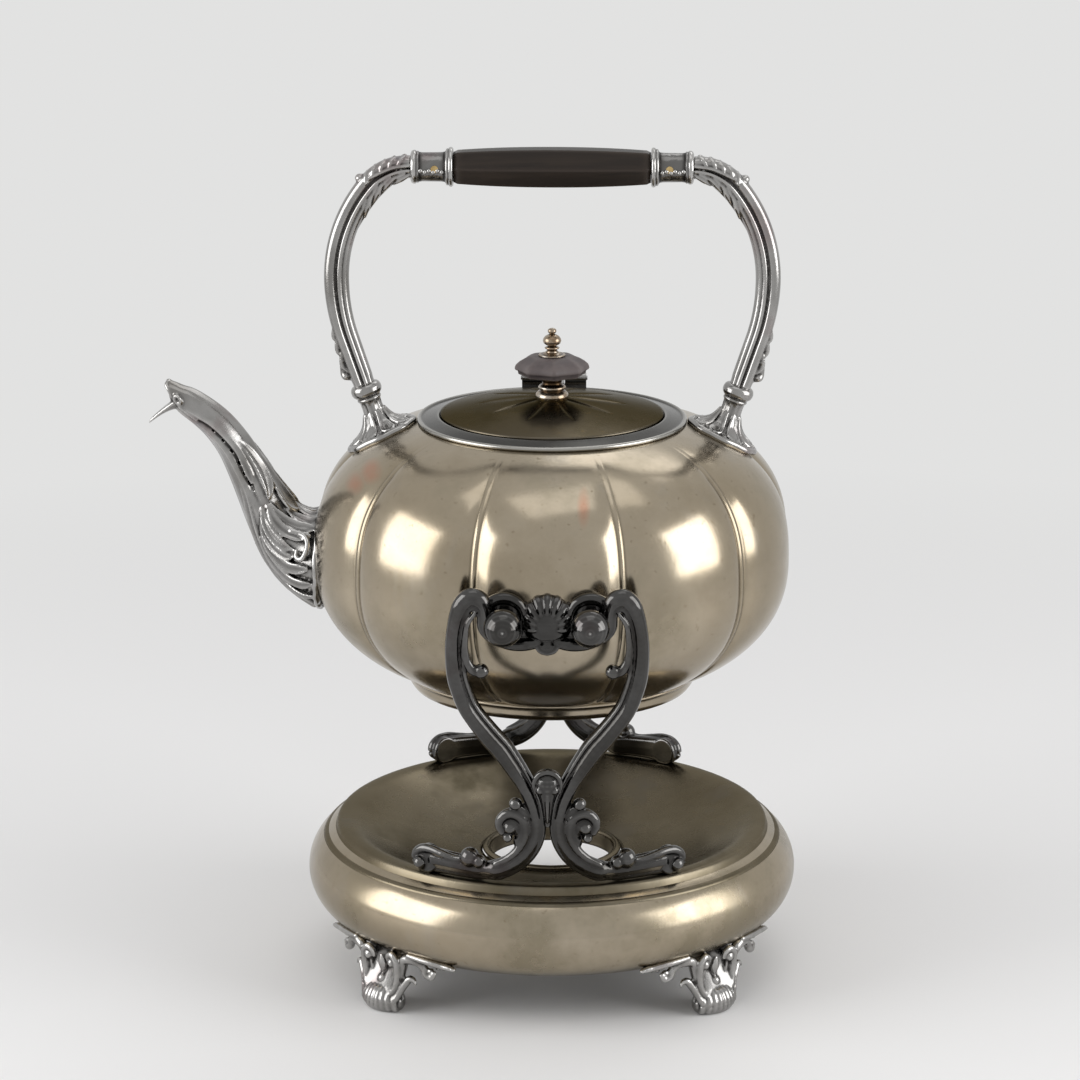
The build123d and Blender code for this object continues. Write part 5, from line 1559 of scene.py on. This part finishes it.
# ---------------------------------------------------------------- feet
def foot_form():
    """One cast foot, reaching to the front (-Y) of the axis."""
    def at(across, out, z):
        return np.array((across, -out, z))

    def under(across, low, off=0.6):
        """A place on the underside of the rolled edge; low is the angle from its lowest line."""
        turn = across / (ROLL_R + 10)
        reach = ROLL_R + (ROLL_ROUND + off) * sin(radians(low))
        return (reach * sin(turn), -reach * cos(turn), ROLL_Z - (ROLL_ROUND + off) * cos(radians(low)))

    form = Form()
    # panel from the roll down to the toe, hollow across
    rows = []
    for i in range(25):
        t = i / 24
        z = 31.0 - 24.5 * t
        out = 99.6 - 3.0 * sin(pi * min(1, t * 1.15)) ** 1.2 + 1.0 * t ** 4
        half = float(np.interp(
            z, (6.5, 9, 13, 17, 21, 23.5, 26, 31), (7.4, 7.6, 8.6, 9.3, 9.4, 8.4, 7.2, 7.0)
        ))
        row = []
        for k in range(21):
            a = -1 + k / 10
            hollow = 1.6 * (1 - a * a) * sin(pi * min(1, 0.1 + t * 0.95))
            row.append(at(a * half, out - hollow, z))
        for k in range(9):
            a = 1 - k / 4
            row.append(at(a * half * 0.86, out - 6.5 + 1.0 * t, z))
        rows.append(row)
    form.skin(rows)
    # toe: a rounded block, and reeds that drape over it down to the floor
    rows = []
    for z, r in ((0.0, 8.0), (0.5, 9.0), (2.2, 9.9), (4.6, 9.8), (6.8, 8.8), (8.6, 7.2)):
        rows.append([
            at(r * cos(2 * pi * i / 40), 96.0 + 0.74 * r * sin(2 * pi * i / 40), z) for i in range(40)
        ])
    form.skin(rows)
    for k in range(9):
        u = (k - 4) * 2.2
        back = 0.042 * u * u
        form.run(at, [
            (u * 0.70, 97.0 - 0.5 * back, 10.0 + 0.035 * u * u, 0.8), (u * 0.88, 100.4 - back, 8.9, 1.25),
            (u, 102.4 - back, 5.9, 1.45), (u * 1.02, 102.3 - back, 2.8, 1.45),
            (u * 0.98, 101.2 - back, 1.3, 1.3), (u * 0.92, 98.8 - back, 1.3, 1.1),
        ], count=26, sides=10)
    # drop on the middle line with a bead under it
    form.run(at, [
        (0, 96.6, 14.8, 0.8), (0, 96.6, 17.0, 1.7), (0, 96.9, 19.4, 2.2), (0, 97.4, 21.6, 1.6),
        (0, 97.8, 23.0, 0.8),
    ], count=28, sides=14, flat=0.8, up=(0, -1, 0))
    form.ball(at(0, 97.2, 12.7), 2.0)
    half = Form()
    # rim of the panel: over the bead at its top, down its side and in to the toe
    half.run(at, [
        (4.4, 97.8, 21.8, 1.0), (5.0, 98.4, 24.2, 1.3), (7.4, 98.6, 25.2, 1.5), (9.6, 98.4, 23.0, 1.6),
        (10.0, 98.0, 18.6, 1.6), (9.6, 97.8, 14.2, 1.6), (8.6, 98.4, 10.4, 1.5), (7.2, 99.2, 8.2, 1.3),
    ], count=64, sides=12)
    half.ball(at(7.1, 98.2, 21.7), 2.0)
    half.run(at, [
        (6.6, 97.7, 20.2, 0.7), (6.9, 96.9, 17.0, 0.85), (6.2, 96.8, 13.4, 0.85), (4.8, 97.8, 10.6, 0.75),
    ], count=24, sides=8)
    # strut that arches up to the roll, with the curl that hangs from its far end
    half.tube([
        (*at(10.2, 96.2, 15.6), 1.8), (*at(11.2, 96.0, 20.4), 2.1), (*under(13.2, 38, 1.8), 2.2),
        (*under(16.4, 39, 1.2), 2.2), (*under(19.8, 37, 1.4), 2.0), (*under(22.2, 33, 3.0), 1.8),
        (*under(23.2, 30, 5.2), 1.6), (*under(25.4, 29, 5.9), 1.5), (*under(26.8, 31, 4.2), 1.3),
    ], count=84, sides=12)
    half.ball(under(25.2, 31, 3.6), 1.5, steps=14)
    # band that follows the roll to its pointed end
    half.run(under, [
        (15.5, 45, 0.5, 1.3), (21.0, 43, 0.6, 1.8), (26.5, 41, 0.8, 1.9), (31.0, 39, 1.0, 1.8),
        (34.5, 39, 1.4, 1.7), (36.4, 40, 1.9, 1.2),
    ], count=50, sides=12, flat=0.8)
    for across, low, r in ((28.6, 33, 1.5), (31.4, 34, 1.2)):
        half.ball(under(across, low, 1.3), r, steps=14)
    # low leaf from the side of the toe, broad towards its turned tip
    half.run(at, [
        (6.4, 100.4, 2.9, 1.6), (8.6, 98.8, 5.4, 1.9), (10.4, 97.2, 9.2, 2.0), (12.6, 96.0, 13.2, 2.1),
        (15.0, 95.2, 15.8, 1.9), (17.0, 95.0, 15.6, 1.2), (17.9, 95.0, 14.2, 0.6),
    ], count=56, sides=12, flat=0.8)
    form.plus(half).plus(half.mirrored(-1))
    return form


def clear_of_roll(mesh):
    """Lays every part of a foot that enters the rolled edge on the roll's own surface."""
    for vertex in mesh.vertices:
        px, py, pz = vertex.co * 1000
        radius = sqrt(px * px + py * py)
        gap = sqrt((radius - ROLL_R) ** 2 + (pz - ROLL_Z) ** 2)
        if 0.1 < gap < ROLL_ROUND - 0.05:
            grow_by = (ROLL_ROUND - 0.05) / gap
            new_r = ROLL_R + (radius - ROLL_R) * grow_by
            px, py = px * new_r / radius, py * new_r / radius
            pz = ROLL_Z + (pz - ROLL_Z) * grow_by
        vertex.co = (px / 1000, py / 1000, max(pz, 0.0) / 1000)


def feet():
    """Four copies of the cast foot, set round the axis by a geometry tree."""
    mesh = bpy.data.meshes.new("cast_foot")
    form = foot_form()
    mesh.from_pydata([(x / 1000, y / 1000, z / 1000) for x, y, z in form.points], [], form.faces)
    point_outwards(mesh, merge=0.001)
    one = linked("cast_foot_pattern", mesh)
    fuse(one, 0.45, 1)
    pattern = one.data
    clear_of_roll(pattern)
    mark_relief(pattern, 16, 0.45)
    smooth_shaded(pattern)
    bpy.data.objects.remove(one)

    def ring_rule(tree, geometry, size):
        circle = tree.nodes.new("GeometryNodeMeshCircle")
        tree.links.new(size["Feet"].socket, circle.inputs["Vertices"])
        circle.inputs["Radius"].default_value = 0.001
        index = node(tree, "GeometryNodeInputIndex", {})
        turn = (index + 0.5) * (2 * pi) / size["Feet"]
        middle = tree.nodes.new("ShaderNodeCombineXYZ")
        tree.links.new(size["Axis"].socket, middle.inputs[0])
        gathered = node(
            tree, "GeometryNodeSetPosition", {}, Val(tree, circle.outputs[0]),
            Position=Val(tree, middle.outputs[0]),
        )
        spin = tree.nodes.new("ShaderNodeCombineXYZ")
        tree.links.new(turn.socket, spin.inputs[2])
        return node(
            tree, "GeometryNodeInstanceOnPoints", {}, gathered, Instance=geometry,
            Rotation=Val(tree, spin.outputs[0]),
        )

    inputs = {"Feet": 4, "Axis": AXIS_M}
    tree = shell_tree("feet_ring", CAST, inputs, ring_rule)
    obj = grow("cast_feet", tree, inputs, pattern)
    dress(obj, CAST, "stand",
          ["foot_front_left", "foot_front_right", "foot_rear_right", "foot_rear_left"], relief=None)


# ---------------------------------------------------------------- pieces kept as made
def kept_pieces():
    for name, finish in (
        ("lid_bezel", INNER_PLATE), ("hinge_fixed_leaf", CAST), ("hinge_lid_leaf", CAST),
        ("hinge_pin", STEEL), ("grip_rod", STEEL), ("knob_nut", STEEL),
        ("ferrule_pin_left", BRASS), ("ferrule_pin_right", BRASS),
    ):
        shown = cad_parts[name]
        shown.data.materials.clear()
        shown.data.materials.append(finish)


# ---------------------------------------------------------------- making of the object
studio()
kettle_body()
foot_ring()
base()
collar_and_lid()
knob_and_finial()
arms()
studs()
brackets()
handle()
spout()
feet()
kept_pieces()
